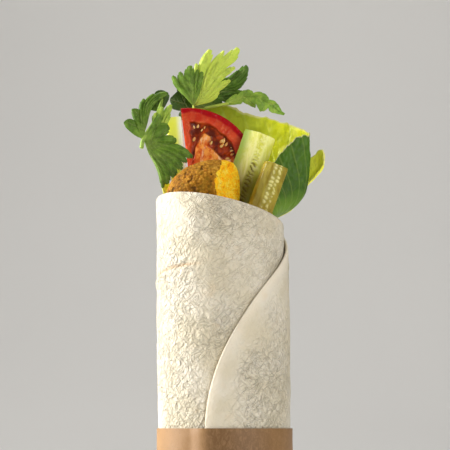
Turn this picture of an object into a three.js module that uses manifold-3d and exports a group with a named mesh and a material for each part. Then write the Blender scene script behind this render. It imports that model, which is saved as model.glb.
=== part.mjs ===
// A falafel wrap standing in its kraft paper sleeve. Millimetres, +Z up.
// The origin is on the flat base of the sleeve, on the axis of the roll, and -Y is the front.
// Angles round the roll are degrees from the front towards +X.
import * as THREE from 'three';
import { mergeVertices } from 'three/addons/utils/BufferGeometryUtils.js';
import Module from 'manifold-3d';

const wasm = await Module();
wasm.setup();

// Driving dimensions of the roll
const sleeveHeight = 60;
const paperWall = 0.5;
const bridgeAngle = 15; // where the paper leaves the roll to pass over the flap's edge
const clearance = 0.35; // what touching pieces keep free of each other
const rollRadius = 28.8; // under the loose flap, low on the roll
const rollTaper = 0.5; // how much slimmer the roll is at its mouth
const sheetStep = 2.1; // the flap's edge stands this far out
const mouthRadius = 26.6;
const flapStart = -15; // angle of the flap's edge where it goes into the sleeve
const flapCurve = 0.0125; // degrees for each mm squared above flapLevel
const flapLevel = 58;
const flapSweep = 0.02; // degrees more for each mm squared above sweepLevel, where the flap turns away
const sweepLevel = 115;
const rimMean = 157.95;
const rimSlant = 7.25;
const rimHighAngle = -55;
const rollFloor = 4.5; // thickness of the folded end of the roll

// Driving dimensions of the filling
const coreRadius = 23.4;
const coreTop = 140.8;
const falafelCentre = [-7.5, -7.1, 163];
const falafelHalf = [17.9, 11.8, 17];
const breakPoint = [-2.5, -18.5, 161]; // where the broken face meets the front of the crust
const breakFacing = [0.87, -0.5, 0.03];
const shoulderFacing = [0.63, 0.39, 0.67]; // the crust bulges out above the broken face
const shoulderHeight = 0.33; // as a share of the radius
const shoulderWidth = 0.63; // radians
const tomatoRadius = 32;
const tomatoThickness = 5.7;
const tomatoCentre = [-15.2, 11.2, 176.4];
const tomatoTilt = 7; // degrees that its cut edge leans to the left
const tomatoWall = 5.2;
const locDepth = 2.4; // how far the seed chambers are sunk
const leafThickness = 0.7;
const stalkRadius = 0.95;

const degrees = Math.PI / 180;
const smooth = (a, b, x) => {
  const t = Math.min(1, Math.max(0, (x - a) / (b - a)));
  return t * t * (3 - 2 * t);
};
const mix = (a, b, t) => a + (b - a) * t;

// The roll leans a little to the left as it rises.
const axisX = (z) => 0.5 - 0.008 * (z - 60);
const flapEdge = (z) => {
  const low = Math.max(0, z - flapLevel);
  const high = Math.max(0, z - sweepLevel);
  return flapStart + flapCurve * low ** 2 + flapSweep * high ** 2;
};
const rimHeight = (angle) => rimMean + rimSlant * Math.cos((angle - rimHighAngle) * degrees);
const rollBase = (z) => rollRadius - rollTaper * smooth(100, 160, z);
// The extra radius of the outer layer, full at the flap's edge and gone after one turn
const wrapStep = (turn) => sheetStep * Math.cos(Math.PI * turn / 2) ** 2;

const onRoll = (angle, radius, z) => [
  axisX(z) + radius * Math.sin(angle * degrees),
  -radius * Math.cos(angle * degrees),
  z,
];

const geometryOf = (points, triangles) => {
  const geometry = new THREE.BufferGeometry();
  geometry.setAttribute('position', new THREE.Float32BufferAttribute(points.flat(), 3));
  geometry.setIndex(triangles.flat());
  return geometry;
};

// Manifold copies of meshes, for joining and cutting
const toSolid = (geometry) => {
  const bare = geometry.clone();
  bare.deleteAttribute('normal');
  bare.deleteAttribute('uv');
  const merged = mergeVertices(bare, 1e-4);
  const mesh = new wasm.Mesh({
    numProp: 3,
    vertProperties: new Float32Array(merged.attributes.position.array),
    triVerts: new Uint32Array(merged.index.array),
  });
  return new wasm.Manifold(mesh);
};

const fromSolid = (solid) => {
  const mesh = solid.getMesh();
  const geometry = new THREE.BufferGeometry();
  geometry.setAttribute('position', new THREE.BufferAttribute(new Float32Array(mesh.vertProperties), 3));
  geometry.setIndex(new THREE.BufferAttribute(new Uint32Array(mesh.triVerts), 1));
  return geometry;
};

const group = new THREE.Group();

const addNode = (name, geometry, color, roughness) => {
  geometry.computeVertexNormals();
  const material = new THREE.MeshStandardMaterial({ color, roughness, metalness: 0 });
  const mesh = new THREE.Mesh(geometry, material);
  mesh.name = name;
  group.add(mesh);
  return mesh;
};

// A closed vessel: an outer wall, a rim, an inner wall and a floor. outer(i, j) and inner(i, j)
// give points for column i and level j, and the levels rise from the floor.
const vesselGeometry = ({ columns, outer, outerLevels, inner, innerLevels, under, floor }) => {
  const points = [];
  const triangles = [];
  const outerIndex = [];
  const innerIndex = [];
  for (let i = 0; i < columns; i += 1) {
    outerIndex.push([]);
    innerIndex.push([]);
    for (let j = 0; j < outerLevels; j += 1) {
      outerIndex[i].push(points.length);
      points.push(outer(i, j));
    }
    for (let j = 0; j < innerLevels; j += 1) {
      innerIndex[i].push(points.length);
      points.push(inner(i, j));
    }
  }
  const underIndex = points.push(under) - 1;
  const floorIndex = points.push(floor) - 1;
  for (let i = 0; i < columns; i += 1) {
    const k = (i + 1) % columns;
    for (let j = 0; j + 1 < outerLevels; j += 1) {
      triangles.push([outerIndex[i][j], outerIndex[k][j], outerIndex[k][j + 1]]);
      triangles.push([outerIndex[i][j], outerIndex[k][j + 1], outerIndex[i][j + 1]]);
    }
    for (let j = 0; j + 1 < innerLevels; j += 1) {
      triangles.push([innerIndex[i][j], innerIndex[k][j + 1], innerIndex[k][j]]);
      triangles.push([innerIndex[i][j], innerIndex[i][j + 1], innerIndex[k][j + 1]]);
    }
    const a = outerLevels - 1;
    const b = innerLevels - 1;
    triangles.push([outerIndex[i][a], outerIndex[k][a], innerIndex[k][b]]);
    triangles.push([outerIndex[i][a], innerIndex[k][b], innerIndex[i][b]]);
    triangles.push([underIndex, outerIndex[k][0], outerIndex[i][0]]);
    triangles.push([floorIndex, innerIndex[i][0], innerIndex[k][0]]);
  }
  return geometryOf(points, triangles);
};

// A thin solid round a surface: both faces lie half a thickness from surface(u, v) along its
// normal and are split into the same triangles, and a strip closes the four edges.
const sheetGeometry = (surface, columns, rows, thickness) => {
  const points = [];
  const triangles = [];
  const step = 1e-3;
  const place = (u, v) => new THREE.Vector3(...surface(u, v));
  for (const side of [0.5, -0.5]) {
    for (let i = 0; i <= columns; i += 1) {
      for (let j = 0; j <= rows; j += 1) {
        const u = i / columns;
        const v = j / rows;
        const middle = place(u, v);
        const along = place(Math.min(1, u + step), v).sub(place(Math.max(0, u - step), v));
        const up = place(u, Math.min(1, v + step)).sub(place(u, Math.max(0, v - step)));
        const normal = along.cross(up).normalize();
        points.push(middle.addScaledVector(normal, side * thickness).toArray());
      }
    }
  }
  const back = (columns + 1) * (rows + 1);
  const at = (i, j) => i * (rows + 1) + j;
  for (let i = 0; i < columns; i += 1) {
    for (let j = 0; j < rows; j += 1) {
      const corners = [at(i, j), at(i + 1, j), at(i + 1, j + 1), at(i, j + 1)];
      const halves = [[0, 1, 2], [0, 2, 3]];
      for (const [a, b, c] of halves) {
        triangles.push([corners[a], corners[b], corners[c]]);
        triangles.push([corners[c] + back, corners[b] + back, corners[a] + back]);
      }
    }
  }
  const border = [];
  for (let i = 0; i < columns; i += 1) border.push(at(i, 0));
  for (let j = 0; j < rows; j += 1) border.push(at(columns, j));
  for (let i = columns; i > 0; i -= 1) border.push(at(i, rows));
  for (let j = rows; j > 0; j -= 1) border.push(at(0, j));
  border.forEach((a, n) => {
    const b = border[(n + 1) % border.length];
    triangles.push([a, a + back, b + back]);
    triangles.push([a, b + back, b]);
  });
  return geometryOf(points, triangles);
};

// A straight stick of the given section, from its foot along a direction
const stickGeometry = (section, foot, direction, length) => {
  const shape = new THREE.Shape(section.map(([x, y]) => new THREE.Vector2(x, y)));
  const geometry = new THREE.ExtrudeGeometry(shape, { depth: length, bevelEnabled: false });
  const along = new THREE.Vector3(...direction).normalize();
  const right = new THREE.Vector3(1, 0, 0).addScaledVector(along, -along.x).normalize();
  const back = along.clone().cross(right);
  const frame = new THREE.Matrix4().makeBasis(right, back, along).setPosition(...foot);
  return geometry.applyMatrix4(frame);
};

const grown = (section, by) => {
  const reach = Math.max(...section.map(([x, y]) => Math.hypot(x, y)));
  return section.map(([x, y]) => [x * (1 + by / (reach * 0.45)), y * (1 + by / (reach * 0.45))]);
};

const curveOf = (points) => new THREE.CatmullRomCurve3(points.map((p) => new THREE.Vector3(...p)));

const stalkGeometry = (points, steps) => {
  const round = new THREE.Shape();
  round.absarc(0, 0, stalkRadius, 0, 2 * Math.PI, false);
  const settings = { steps, curveSegments: 3, bevelEnabled: false, extrudePath: curveOf(points) };
  return new THREE.ExtrudeGeometry(round, settings);
};

// Kraft paper sleeve: it follows the roll and bridges the step at the flap's edge.
const sleeveRadius = (angle) => {
  const turn = (((angle - flapStart) % 360) + 360) % 360 / 360;
  const bridge = Math.max(0, 1 - (1 - turn) * 360 / bridgeAngle);
  return rollRadius + clearance + paperWall + Math.max(wrapStep(turn), sheetStep * bridge);
};

const makeSleeve = () => {
  const columns = 48;
  const profile = [[2.6, 0], [0.7, 0.7], [0, 2.8], [0, 20], [0, 40], [0, sleeveHeight]];
  const insideLevels = [paperWall + 0.1, 3, 20, 40, sleeveHeight];
  const angleOf = (i) => flapStart + 360 * i / columns;
  return vesselGeometry({
    columns,
    outerLevels: profile.length,
    innerLevels: insideLevels.length,
    outer: (i, j) => {
      const angle = angleOf(i);
      const [inset, z] = profile[j];
      return onRoll(angle, sleeveRadius(angle) - inset, z);
    },
    inner: (i, j) => {
      const angle = angleOf(i);
      const inset = j === 0 ? 2.6 : 0;
      return onRoll(angle, sleeveRadius(angle) - paperWall - inset, insideLevels[j]);
    },
    under: [axisX(0), 0, 0],
    floor: [axisX(0), 0, insideLevels[0]],
  });
};

// Tortilla: a spiral wall whose free edge crosses the front, with a slanted rim and a closed
// lower end. Column 0 lies on the edge of the flap and the last one under it.
const makeTortilla = () => {
  const columns = 44;
  const levels = 15;
  const foot = 1;
  const innerLevels = 7;
  const edgeLevel = (share) => {
    let z = mix(foot, rimMean, share);
    for (let n = 0; n < 12; n += 1) z = mix(foot, rimHeight(flapEdge(z)), share);
    return z;
  };
  const spot = (turn, share) => {
    const angle = flapEdge(edgeLevel(share)) + 360 * turn;
    return { angle, z: mix(foot, rimHeight(angle), share) };
  };
  const points = [];
  const triangles = [];
  const outer = [];
  const inner = [];
  for (let i = 0; i <= columns; i += 1) {
    outer.push([]);
    for (let j = 0; j <= levels; j += 1) {
      const { angle, z } = spot(i / columns, j / levels);
      const tuck = j === 0 ? 3 : 0;
      const unevenness = 0.12 * Math.sin(3 * angle * degrees + z * 0.11) * smooth(sleeveHeight, 80, z);
      const radius = rollBase(z) + wrapStep(i / columns) + unevenness;
      outer[i].push(points.push(onRoll(angle, radius - tuck, z)) - 1);
    }
  }
  for (let i = 0; i < columns; i += 1) {
    inner.push([]);
    for (let j = 0; j <= innerLevels; j += 1) {
      const top = spot(i / columns, 1);
      const z = mix(rollFloor, top.z - 0.2, j / innerLevels);
      inner[i].push(points.push(onRoll(top.angle, mouthRadius, z)) - 1);
    }
  }
  const under = points.push([axisX(foot), 0, foot]) - 1;
  const floor = points.push([axisX(rollFloor), 0, rollFloor]) - 1;
  for (let i = 0; i < columns; i += 1) {
    const k = (i + 1) % columns;
    for (let j = 0; j < levels; j += 1) {
      triangles.push([outer[i][j], outer[i + 1][j], outer[i + 1][j + 1]]);
      triangles.push([outer[i][j], outer[i + 1][j + 1], outer[i][j + 1]]);
    }
    for (let j = 0; j < innerLevels; j += 1) {
      triangles.push([inner[i][j], inner[k][j + 1], inner[k][j]]);
      triangles.push([inner[i][j], inner[i][j + 1], inner[k][j + 1]]);
    }
    triangles.push([outer[i][levels], outer[i + 1][levels], inner[k][innerLevels]]);
    triangles.push([outer[i][levels], inner[k][innerLevels], inner[i][innerLevels]]);
    triangles.push([under, outer[i + 1][0], outer[i][0]]);
    triangles.push([floor, inner[i][0], inner[k][0]]);
  }
  // The face of the flap's edge, from the layer under it out to the flap
  const [flap, below] = [outer[0], outer[columns]];
  for (let j = 0; j < levels; j += 1) {
    triangles.push([below[j], flap[j], flap[j + 1]]);
    triangles.push([below[j], flap[j + 1], below[j + 1]]);
  }
  triangles.push([below[levels], flap[levels], inner[0][innerLevels]]);
  triangles.push([under, flap[0], below[0]]);
  return geometryOf(points, triangles);
};

// Cucumber and pickle: lengthwise wedges with a ridge to the front and skin at the back
const rightStick = {
  section: [[0, -3.2], [4.6, -1], [7.6, 1.2], [5.4, 3], [0, 3.4], [-4.2, 3], [-6.8, 1.4], [-3.6, -1]],
  foot: [-11.4, 6.7, 112],
  direction: [0.327, 0, 0.945],
  length: 88,
};
const leftStick = {
  section: [[-3.3, -3.2], [3.4, -3.3], [3.6, 3.2], [-1, 3.4], [-3, 2.6], [-3.7, 0.4]],
  foot: [-15.2, 7.5, 142.2],
  direction: [-0.085, 0, 0.996],
  length: 60.8,
};
const pickleStick = {
  section: [[-1.4, -4.1], [2.6, -3.4], [5.6, -1], [4.8, 2.6], [0.4, 4], [-3.6, 3.4], [-5.5, 0.6],
    [-4.2, -2.4]],
  foot: [4.2, -8.6, 123],
  direction: [0.345, 0, 0.939],
  length: 58.8,
};

const makeStick = ({ section, foot, direction, length }) => stickGeometry(section, foot, direction, length);

// The socket that a stick needs in what it is pushed into
const makeSocket = ({ section, foot, direction, length }) => {
  const along = new THREE.Vector3(...direction).normalize();
  const start = new THREE.Vector3(...foot).addScaledVector(along, -clearance);
  return stickGeometry(grown(section, clearance), start.toArray(), direction, length);
};

// Filling that runs through the roll, up to where the separate pieces stand in it
const makeCore = () => {
  const profile = [[0, 5], [21, 5], [coreRadius, 8], [coreRadius, 70], [coreRadius, 137],
    [21.8, coreTop - 0.6], [12, coreTop], [0, coreTop]];
  const geometry = new THREE.LatheGeometry(profile.map(([r, z]) => new THREE.Vector2(r, z)), 32);
  geometry.rotateX(Math.PI / 2);
  return fromSolid(toSolid(geometry)
    .subtract(toSolid(makeSocket(rightStick)))
    .subtract(toSolid(makeSocket(pickleStick))));
};

// Falafel: an uneven round patty with a craggy crust, broken open on the right
const makeFalafel = () => {
  const ball = new THREE.IcosahedronGeometry(1, 5);
  ball.deleteAttribute('normal');
  ball.deleteAttribute('uv');
  const geometry = mergeVertices(ball, 1e-4);
  const position = geometry.attributes.position;
  const half = new THREE.Vector3(...falafelHalf);
  const facing = new THREE.Vector3(...breakFacing).normalize();
  const shoulder = new THREE.Vector3(...shoulderFacing).normalize();
  const centre = new THREE.Vector3(...falafelCentre);
  const reach = new THREE.Vector3(...breakPoint).sub(centre).dot(facing);
  for (let n = 0; n < position.count; n += 1) {
    const p = new THREE.Vector3().fromBufferAttribute(position, n);
    const crags = Math.sin(9 * p.x + 4 * p.z) * Math.sin(8 * p.y - 3 * p.x) + Math.sin(13 * p.z + 5 * p.y);
    const bulge = 1 + shoulderHeight * Math.exp(-((p.angleTo(shoulder) / shoulderWidth) ** 2));
    p.multiplyScalar((0.985 + 0.012 * crags) * bulge).multiply(half);
    const over = p.dot(facing);
    const crumbs = 0.35 * Math.sin(1.1 * p.z + 0.9 * p.y) * Math.sin(1.7 * p.y);
    if (over > reach + crumbs) p.multiplyScalar((reach + crumbs) / over);
    p.add(centre);
    position.setXYZ(n, p.x, p.y, p.z);
  }
  return geometry;
};

// Tomato: half of a round slice, standing on its rounded side, its cut edge to the left
const makeTomato = () => {
  const arc = (shape, radius, from, to) => shape.absarc(0, 0, radius, from * degrees, to * degrees, true);
  const half = new THREE.Shape();
  arc(half, tomatoRadius, 90, -90);
  const slabOptions = { depth: tomatoThickness, curveSegments: 20, bevelEnabled: false };
  const slab = new THREE.ExtrudeGeometry(half, slabOptions);
  // Seed chambers between the outer wall, the middle column and the walls that join them
  const chamber = (from, to, inner, outer) => {
    const shape = new THREE.Shape();
    arc(shape, outer, from, to);
    shape.absarc(0, 0, inner, to * degrees, from * degrees, false);
    const pocketOptions = { depth: locDepth + 1, curveSegments: 8, bevelEnabled: false };
    const pocket = new THREE.ExtrudeGeometry(shape, pocketOptions);
    return pocket.translate(0, 0, tomatoThickness - locDepth);
  };
  const outer = tomatoRadius - tomatoWall;
  let solid = toSolid(slab);
  for (const [from, to] of [[84, 70], [50, 14], [2, -34], [-46, -82]]) {
    solid = solid.subtract(toSolid(chamber(from, to, 10.5, outer)));
  }
  const geometry = fromSolid(solid);
  geometry.rotateX(Math.PI / 2);
  geometry.translate(0, tomatoThickness, 0);
  geometry.rotateY(-tomatoTilt * degrees);
  return geometry.translate(...tomatoCentre);
};

// Large lettuce leaf: it lines the wall at the back and right, flares over the rim and folds
// back to the front-right. Points from the back round to the front end: x, y and top height.
const leafLine = [
  [-9, 25.8, 212.6], [1.5, 25.4, 211.8], [12, 23.8, 207.4], [22, 20.5, 204.6], [31, 15.5, 201.2],
  [37.5, 9.5, 197.5], [40.2, 4.6, 195], [37, 1.8, 193.4], [31.5, 0.3, 190.2], [26.5, -0.6, 184.5],
  [22.5, -1.2, 178],
];
const leafLineFor = (line) => {
  const curve = curveOf(line);
  return (u) => curve.getPoint(u);
};
// How far the flare has opened at a height: fast just above the rim over `spread` mm, and for a leaf
// with a late share, that share of it only from lateFrom to lateTo
const flare = (z, { openFrom, spread, lateShare = 0, lateFrom = 0, lateTo = 1 }) => {
  const early = 1 - Math.exp(-Math.max(0, z - openFrom) / spread);
  const late = THREE.MathUtils.smoothstep(z, lateFrom, lateTo);
  return mix(early, late, lateShare);
};

// The share of a leaf's rows that lies below the point where it opens
const hiddenShare = 0.25;

// A leaf that starts on the wall of the mouth at wallRadius and opens out to its line
const liningLeaf = (leaf) => {
  const { startAngle, endAngle, wallRadius, foot, openFrom, wave, waves } = leaf;
  const top = leafLineFor(leaf.line);
  return (u, v) => {
    const crest = top(u);
    const z = v < hiddenShare
      ? mix(foot, openFrom, v / hiddenShare)
      : mix(openFrom, crest.z, (v - hiddenShare) / (1 - hiddenShare));
    const angle = mix(startAngle, endAngle, u);
    const [x, y] = onRoll(angle, wallRadius, z);
    const open = flare(z, leaf);
    const ripple = wave * open * Math.sin(waves * 2 * Math.PI * u + 0.09 * z);
    return [mix(x, crest.x, open), mix(y, crest.y, open) + ripple, z];
  };
};

const mainLeaf = {
  line: leafLine,
  startAngle: 201,
  endAngle: 72,
  wallRadius: 24.6,
  foot: 100,
  openFrom: 155.6,
  spread: 5.4,
  wave: 0.5,
  waves: 2.5,
};
const outerLeaf = {
  line: [[33, 20.4, 186], [41.5, 17, 190], [46.3, 13.6, 190.5], [47.4, 10.8, 184], [45.5, 9.2, 173]],
  startAngle: 160,
  endAngle: 126,
  wallRadius: 25.85,
  foot: 120,
  openFrom: 155.5,
  spread: 5,
  lateShare: 0.3,
  lateFrom: 168,
  lateTo: 182,
  wave: 0.3,
  waves: 1.5,
};
const leftLeaf = {
  line: [[-28.4, 1.5, 183], [-29.2, 6, 186], [-28.6, 11, 184], [-26, 15.4, 180]],
  startAngle: -93,
  endAngle: -122,
  wallRadius: 25.75,
  foot: 120,
  openFrom: 165.5,
  spread: 8.5,
  wave: 0.3,
  waves: 1.5,
};

// A fan-shaped leaflet: outline gives [angle from upright towards +X, length] for each tip and
// notch from left to right, and slope, cup and curl bend it towards the back. Hook turns the far end
// to the right, by that many degrees at hookReach.
const hookReach = 25;
const fanLeaflet = ({ base, outline, slopeX, slopeZ, cup, curl, hook = 0 }) => {
  const spans = 2 * (outline.length - 1);
  const surface = (u, v) => {
    const s = u * (outline.length - 1);
    const k = Math.min(outline.length - 2, Math.floor(s));
    const t = s - k;
    const bulge = 1 + 0.06 * Math.sin(Math.PI * t);
    const r = mix(0.05, 1, v) * mix(outline[k][1], outline[k + 1][1], t) * bulge;
    const turned = hook * (r / hookReach) ** 2;
    const angle = (mix(outline[k][0], outline[k + 1][0], t) + turned) * degrees;
    const x = r * Math.sin(angle);
    const z = r * Math.cos(angle);
    const middle = (outline[0][0] + outline[outline.length - 1][0]) / 2 * degrees;
    const across = r * Math.sin(angle - middle);
    const y = slopeX * x + slopeZ * z + cup * across * across + curl * r * r;
    return [base[0] + x, base[1] + y, base[2] + z];
  };
  return sheetGeometry(surface, spans, 4, leafThickness);
};

// A leaflet along a curved midrib, with half widths [left, right] at even steps and teeth
const ribLeaflet = ({ rib, widths, teeth, cup }) => {
  const curve = curveOf(rib);
  const surface = (u, v) => {
    const p = curve.getPoint(v);
    const along = curve.getTangent(v);
    const across = new THREE.Vector3(along.z, 0, -along.x).normalize();
    const s = v * (widths.length - 1);
    const k = Math.min(widths.length - 2, Math.floor(s));
    const side = u < 0.5 ? 0 : 1;
    const width = mix(widths[k][side], widths[k + 1][side], s - k);
    const tooth = 1 + 0.22 * Math.sin(2 * Math.PI * teeth * v);
    const reach = (2 * u - 1) * width * tooth;
    return [p.x + across.x * reach, p.y + cup * reach * reach, p.z + across.z * reach];
  };
  return sheetGeometry(surface, 4, 12, leafThickness);
};

const joined = (geometries) => fromSolid(geometries.map(toSolid).reduce((all, one) => all.add(one)));

// Parsley sprig behind the tomato: four leaflets above and an arching one to the right
const makeTopParsley = () => joined([
  stalkGeometry([[-9, 19.3, 143], [-10, 19.4, 175], [-11, 19.4, 200], [-12.6, 18.8, 208],
    [-13, 17, 212.4]], 8),
  stalkGeometry([[-12, 19, 208.8], [-5, 18.8, 209.8], [3.2, 15.9, 211]], 5),
  fanLeaflet({
    base: [-13, 17, 209.8],
    outline: [[2, 8], [6, 19.6], [9.5, 18], [13.5, 27], [23.2, 20.4], [26, 28.8], [29, 25.6], [35.5, 33.5],
      [41.4, 21.6], [45, 26.2], [51, 14.4], [57, 20.8], [62, 13.5], [74, 7]],
    slopeX: 0.12,
    slopeZ: -0.2,
    cup: 0.012,
    curl: -0.003,
  }),
  fanLeaflet({
    base: [-13.2, 16.4, 209.6],
    outline: [[-42, 6], [-33, 17], [-28, 14], [-20, 16.8], [-15, 14], [-4, 18.4], [5, 14.6], [9, 16.8],
      [12, 14.6], [17, 16.2], [25, 9]],
    slopeX: -0.12,
    slopeZ: -0.12,
    cup: 0.02,
    curl: 0,
  }),
  fanLeaflet({
    base: [-12.2, 17.8, 210],
    outline: [[40, 12], [44, 20], [47, 26], [53, 31], [57, 29], [61, 25], [64, 20], [68, 23], [72, 17],
      [77, 8]],
    slopeX: 0.12,
    slopeZ: 0.05,
    cup: 0.015,
    curl: -0.002,
  }),
  ribLeaflet({
    rib: [[-12.3, 18, 206.2], [-15.4, 20.2, 208.6], [-18.2, 21.4, 213.5], [-20.2, 21.6, 219.8]],
    widths: [[1.4, 1.4], [4.8, 4], [5.4, 5], [4.4, 4.6], [0.7, 0.7]],
    teeth: 3,
    cup: 0.04,
  }),
  ribLeaflet({
    rib: [[-12.6, 17.8, 210], [-6, 18.8, 212.4], [-1, 19.2, 214], [5, 18.8, 215.2]],
    widths: [[1.2, 1.2], [2, 3], [2.6, 3.4], [2, 2.6], [0.6, 0.6]],
    teeth: 3,
    cup: 0.03,
  }),
  ribLeaflet({
    rib: [[2, 16, 210.8], [8.4, 15.4, 213.2], [15.2, 13.8, 213.6], [22, 11.2, 210.2], [28.8, 8, 204.2]],
    widths: [[1, 1], [3.2, 2.6], [3, 4.6], [2.6, 4.8], [2, 3], [0.7, 0.7]],
    teeth: 4,
    cup: 0.05,
  }),
]);

// Parsley sprig lying over the left edge: its stalk end shows, one leaflet curls up and over,
// one hangs in front of the cucumber and two small ones stand between
const makeLeftParsley = () => joined([
  stalkGeometry([[-36.6, -3.6, 187], [-35.4, -2.6, 192], [-31.4, 0.6, 199], [-28.9, 5, 206],
    [-27.4, 8.6, 212]], 8),
  fanLeaflet({
    base: [-35.6, -2.8, 191.2],
    outline: [[-66, 3.5], [-51, 12.1], [-31, 9.8], [-26.6, 15.4], [-15.5, 14.4], [-12, 19.6], [-9, 18.2],
      [-7, 22.6], [-5.4, 21.4], [-3.2, 25.6], [0.4, 24.8], [3.4, 23.4], [6, 18]],
    slopeX: 0.15,
    slopeZ: 0.1,
    cup: 0.012,
    curl: 0.006,
    hook: 24,
  }),
  fanLeaflet({
    base: [-35.6, -2.7, 191.4],
    outline: [[28, 5], [36, 13.5], [48, 10.5], [66, 13], [82, 9.5], [96, 15], [101, 13.5], [108, 23.8],
      [113, 20], [117, 22.4], [121, 18], [127, 20.5], [132, 15.5], [139, 21], [144, 18.5], [149.5, 23.6],
      [153, 22.5], [156.5, 24.5], [160, 12]],
    slopeX: 0.16,
    slopeZ: -0.02,
    cup: -0.006,
    curl: -0.002,
  }),
  fanLeaflet({
    base: [-29.5, -0.4, 191.8],
    outline: [[-14, 7], [0, 12], [9, 15], [15, 12.5], [21, 17], [28, 13], [38, 8]],
    slopeX: -0.02,
    slopeZ: -0.04,
    cup: 0.01,
    curl: 0,
  }),
  fanLeaflet({
    base: [-28, 6.6, 205.4],
    outline: [[-78, 6], [-48, 8.5], [-20, 9], [0, 10.5], [14, 10], [32, 6.5]],
    slopeX: -0.1,
    slopeZ: 0.15,
    cup: 0.03,
    curl: 0,
  }),
]);

addNode('paper_sleeve', makeSleeve(), 0x9c7549, 0.85);
addNode('tortilla', makeTortilla(), 0xe6dfce, 0.8);
addNode('filling_core', makeCore(), 0x93a04a, 0.75);
addNode('falafel', makeFalafel(), 0x9b6a2a, 0.9);
addNode('tomato_slice', makeTomato(), 0xa83228, 0.25);
addNode('cucumber_left', makeStick(leftStick), 0xd8cf9c, 0.35);
addNode('cucumber_right', makeStick(rightStick), 0xbcbb66, 0.35);
addNode('pickle_spear', makeStick(pickleStick), 0xa7923a, 0.3);
addNode('lettuce_main', sheetGeometry(liningLeaf(mainLeaf), 26, 12, leafThickness), 0x9aa83e, 0.5);
addNode('lettuce_outer', sheetGeometry(liningLeaf(outerLeaf), 8, 12, leafThickness), 0xb7bb3c, 0.5);
addNode('lettuce_left', sheetGeometry(liningLeaf(leftLeaf), 8, 12, leafThickness), 0xb0bc4c, 0.5);
addNode('parsley_top', makeTopParsley(), 0x6d8f3a, 0.55);
addNode('parsley_left', makeLeftParsley(), 0x5c7f36, 0.55);

export default group;
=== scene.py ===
import math
import bmesh
import bpy
import numpy as np
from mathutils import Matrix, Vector


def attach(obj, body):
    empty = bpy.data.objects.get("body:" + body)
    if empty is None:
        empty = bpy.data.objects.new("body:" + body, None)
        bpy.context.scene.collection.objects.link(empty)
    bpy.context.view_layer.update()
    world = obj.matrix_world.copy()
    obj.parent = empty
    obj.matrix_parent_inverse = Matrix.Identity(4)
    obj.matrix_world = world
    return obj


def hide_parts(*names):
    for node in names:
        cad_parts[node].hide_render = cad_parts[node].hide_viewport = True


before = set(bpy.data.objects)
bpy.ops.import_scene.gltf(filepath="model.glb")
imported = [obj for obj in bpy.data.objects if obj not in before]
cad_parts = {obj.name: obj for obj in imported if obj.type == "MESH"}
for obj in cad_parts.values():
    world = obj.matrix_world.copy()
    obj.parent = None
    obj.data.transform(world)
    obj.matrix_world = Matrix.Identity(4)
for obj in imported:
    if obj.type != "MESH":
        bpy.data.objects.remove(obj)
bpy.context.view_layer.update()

# Shapes are worked out in millimetres with the front at -Y, and meshes are stored in metres.
mm = 0.001
rad = math.pi / 180


def smooth(a, b, x):  # eased step 3t^2 - 2t^3, where t is the share of the way from a to b
    t = np.clip((np.asarray(x, float) - a) / (b - a), 0, 1)
    return t * t * (3 - 2 * t)


def between(x, low, high, rise, fall):  # eases up from 0 at low, and back down to 0 at high
    return smooth(low, low + rise, x) * (1 - smooth(high - fall, high, x))


def hump(x, width):  # exp(-(x / width)^2)
    return np.exp(-(x / width) ** 2)


def mix(a, b, t):
    return a + (b - a) * t


def unit(v):
    return v / np.maximum(np.linalg.norm(v, axis=-1, keepdims=True), 1e-9)


def xyz(x, y, z):  # three numbers or arrays as one array of points
    return np.stack(np.broadcast_arrays(x, y, z), -1)


# Noise in space: random values on a lattice, blended with eased weights, each from -1 to 1
def lattice(points, seed):
    x, y, z = np.moveaxis(points, -1, 0)
    h = (x * 374761393 + y * 668265263 + z * 2147483647 + seed * 974711) & 0xFFFFFFFF
    h = ((h ^ (h >> 13)) * 1274126177) & 0xFFFFFFFF
    h = ((h ^ (h >> 16)) * 2246822519) & 0xFFFFFFFF
    return ((h ^ (h >> 15)) & 0xFFFFFF) / 0xFFFFFF * 2 - 1


def noise(p, size, seed=0):
    q = np.asarray(p, float) / size
    base = np.floor(q)
    f = q - base
    w = f * f * (3 - 2 * f)
    base = base.astype(np.int64)
    total = 0.0
    for corner in np.ndindex(2, 2, 2):
        total = total + np.prod(np.where(corner, w, 1 - w), -1) * lattice(base + corner, seed)
    return total


def layered(p, size, octaves=3, seed=0):  # each further layer has half the size and half the height
    return sum(noise(p, size / 2 ** k, seed + k) / 2 ** k for k in range(octaves)) / (2 - 2 ** (1 - octaves))


def ridged(p, size, seed=0):  # 1 on narrow ridge lines, falling to 0 between them
    return 1 - np.abs(noise(p, size, seed)) * 2


# Distance to the nearest of one jittered point in each lattice cell, in cells: round lumps and grains
def cells(p, size, seed=0):
    q = np.asarray(p, float) / size
    base = np.floor(q).astype(np.int64)
    best = np.full(q.shape[:-1], 9.0)
    for step in np.ndindex(3, 3, 3):
        c = base + step - 1
        jitter = xyz(*[lattice(c, seed + k) * 0.45 + 0.5 for k in (1, 2, 3)])
        best = np.minimum(best, np.linalg.norm(c + jitter - q, axis=-1))
    return best


# Smooth curve through points: each coordinate is a Catmull-Rom spline, at shares t from 0 to 1
def curveAt(points, t):
    p = np.asarray(points, float)
    p = np.vstack([2 * p[0] - p[1], p, 2 * p[-1] - p[-2]])
    s = np.clip(np.asarray(t, float), 0, 1) * (len(points) - 1)
    k = np.minimum(np.floor(s).astype(int), len(points) - 2)
    f = (s - k)[..., None]
    a, b, c, d = p[k], p[k + 1], p[k + 2], p[k + 3]
    square, cube = 2 * a - 5 * b + 4 * c - d, 3 * b - a - 3 * c + d
    return 0.5 * (2 * b + (c - a) * f + square * f ** 2 + cube * f ** 3)


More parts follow.
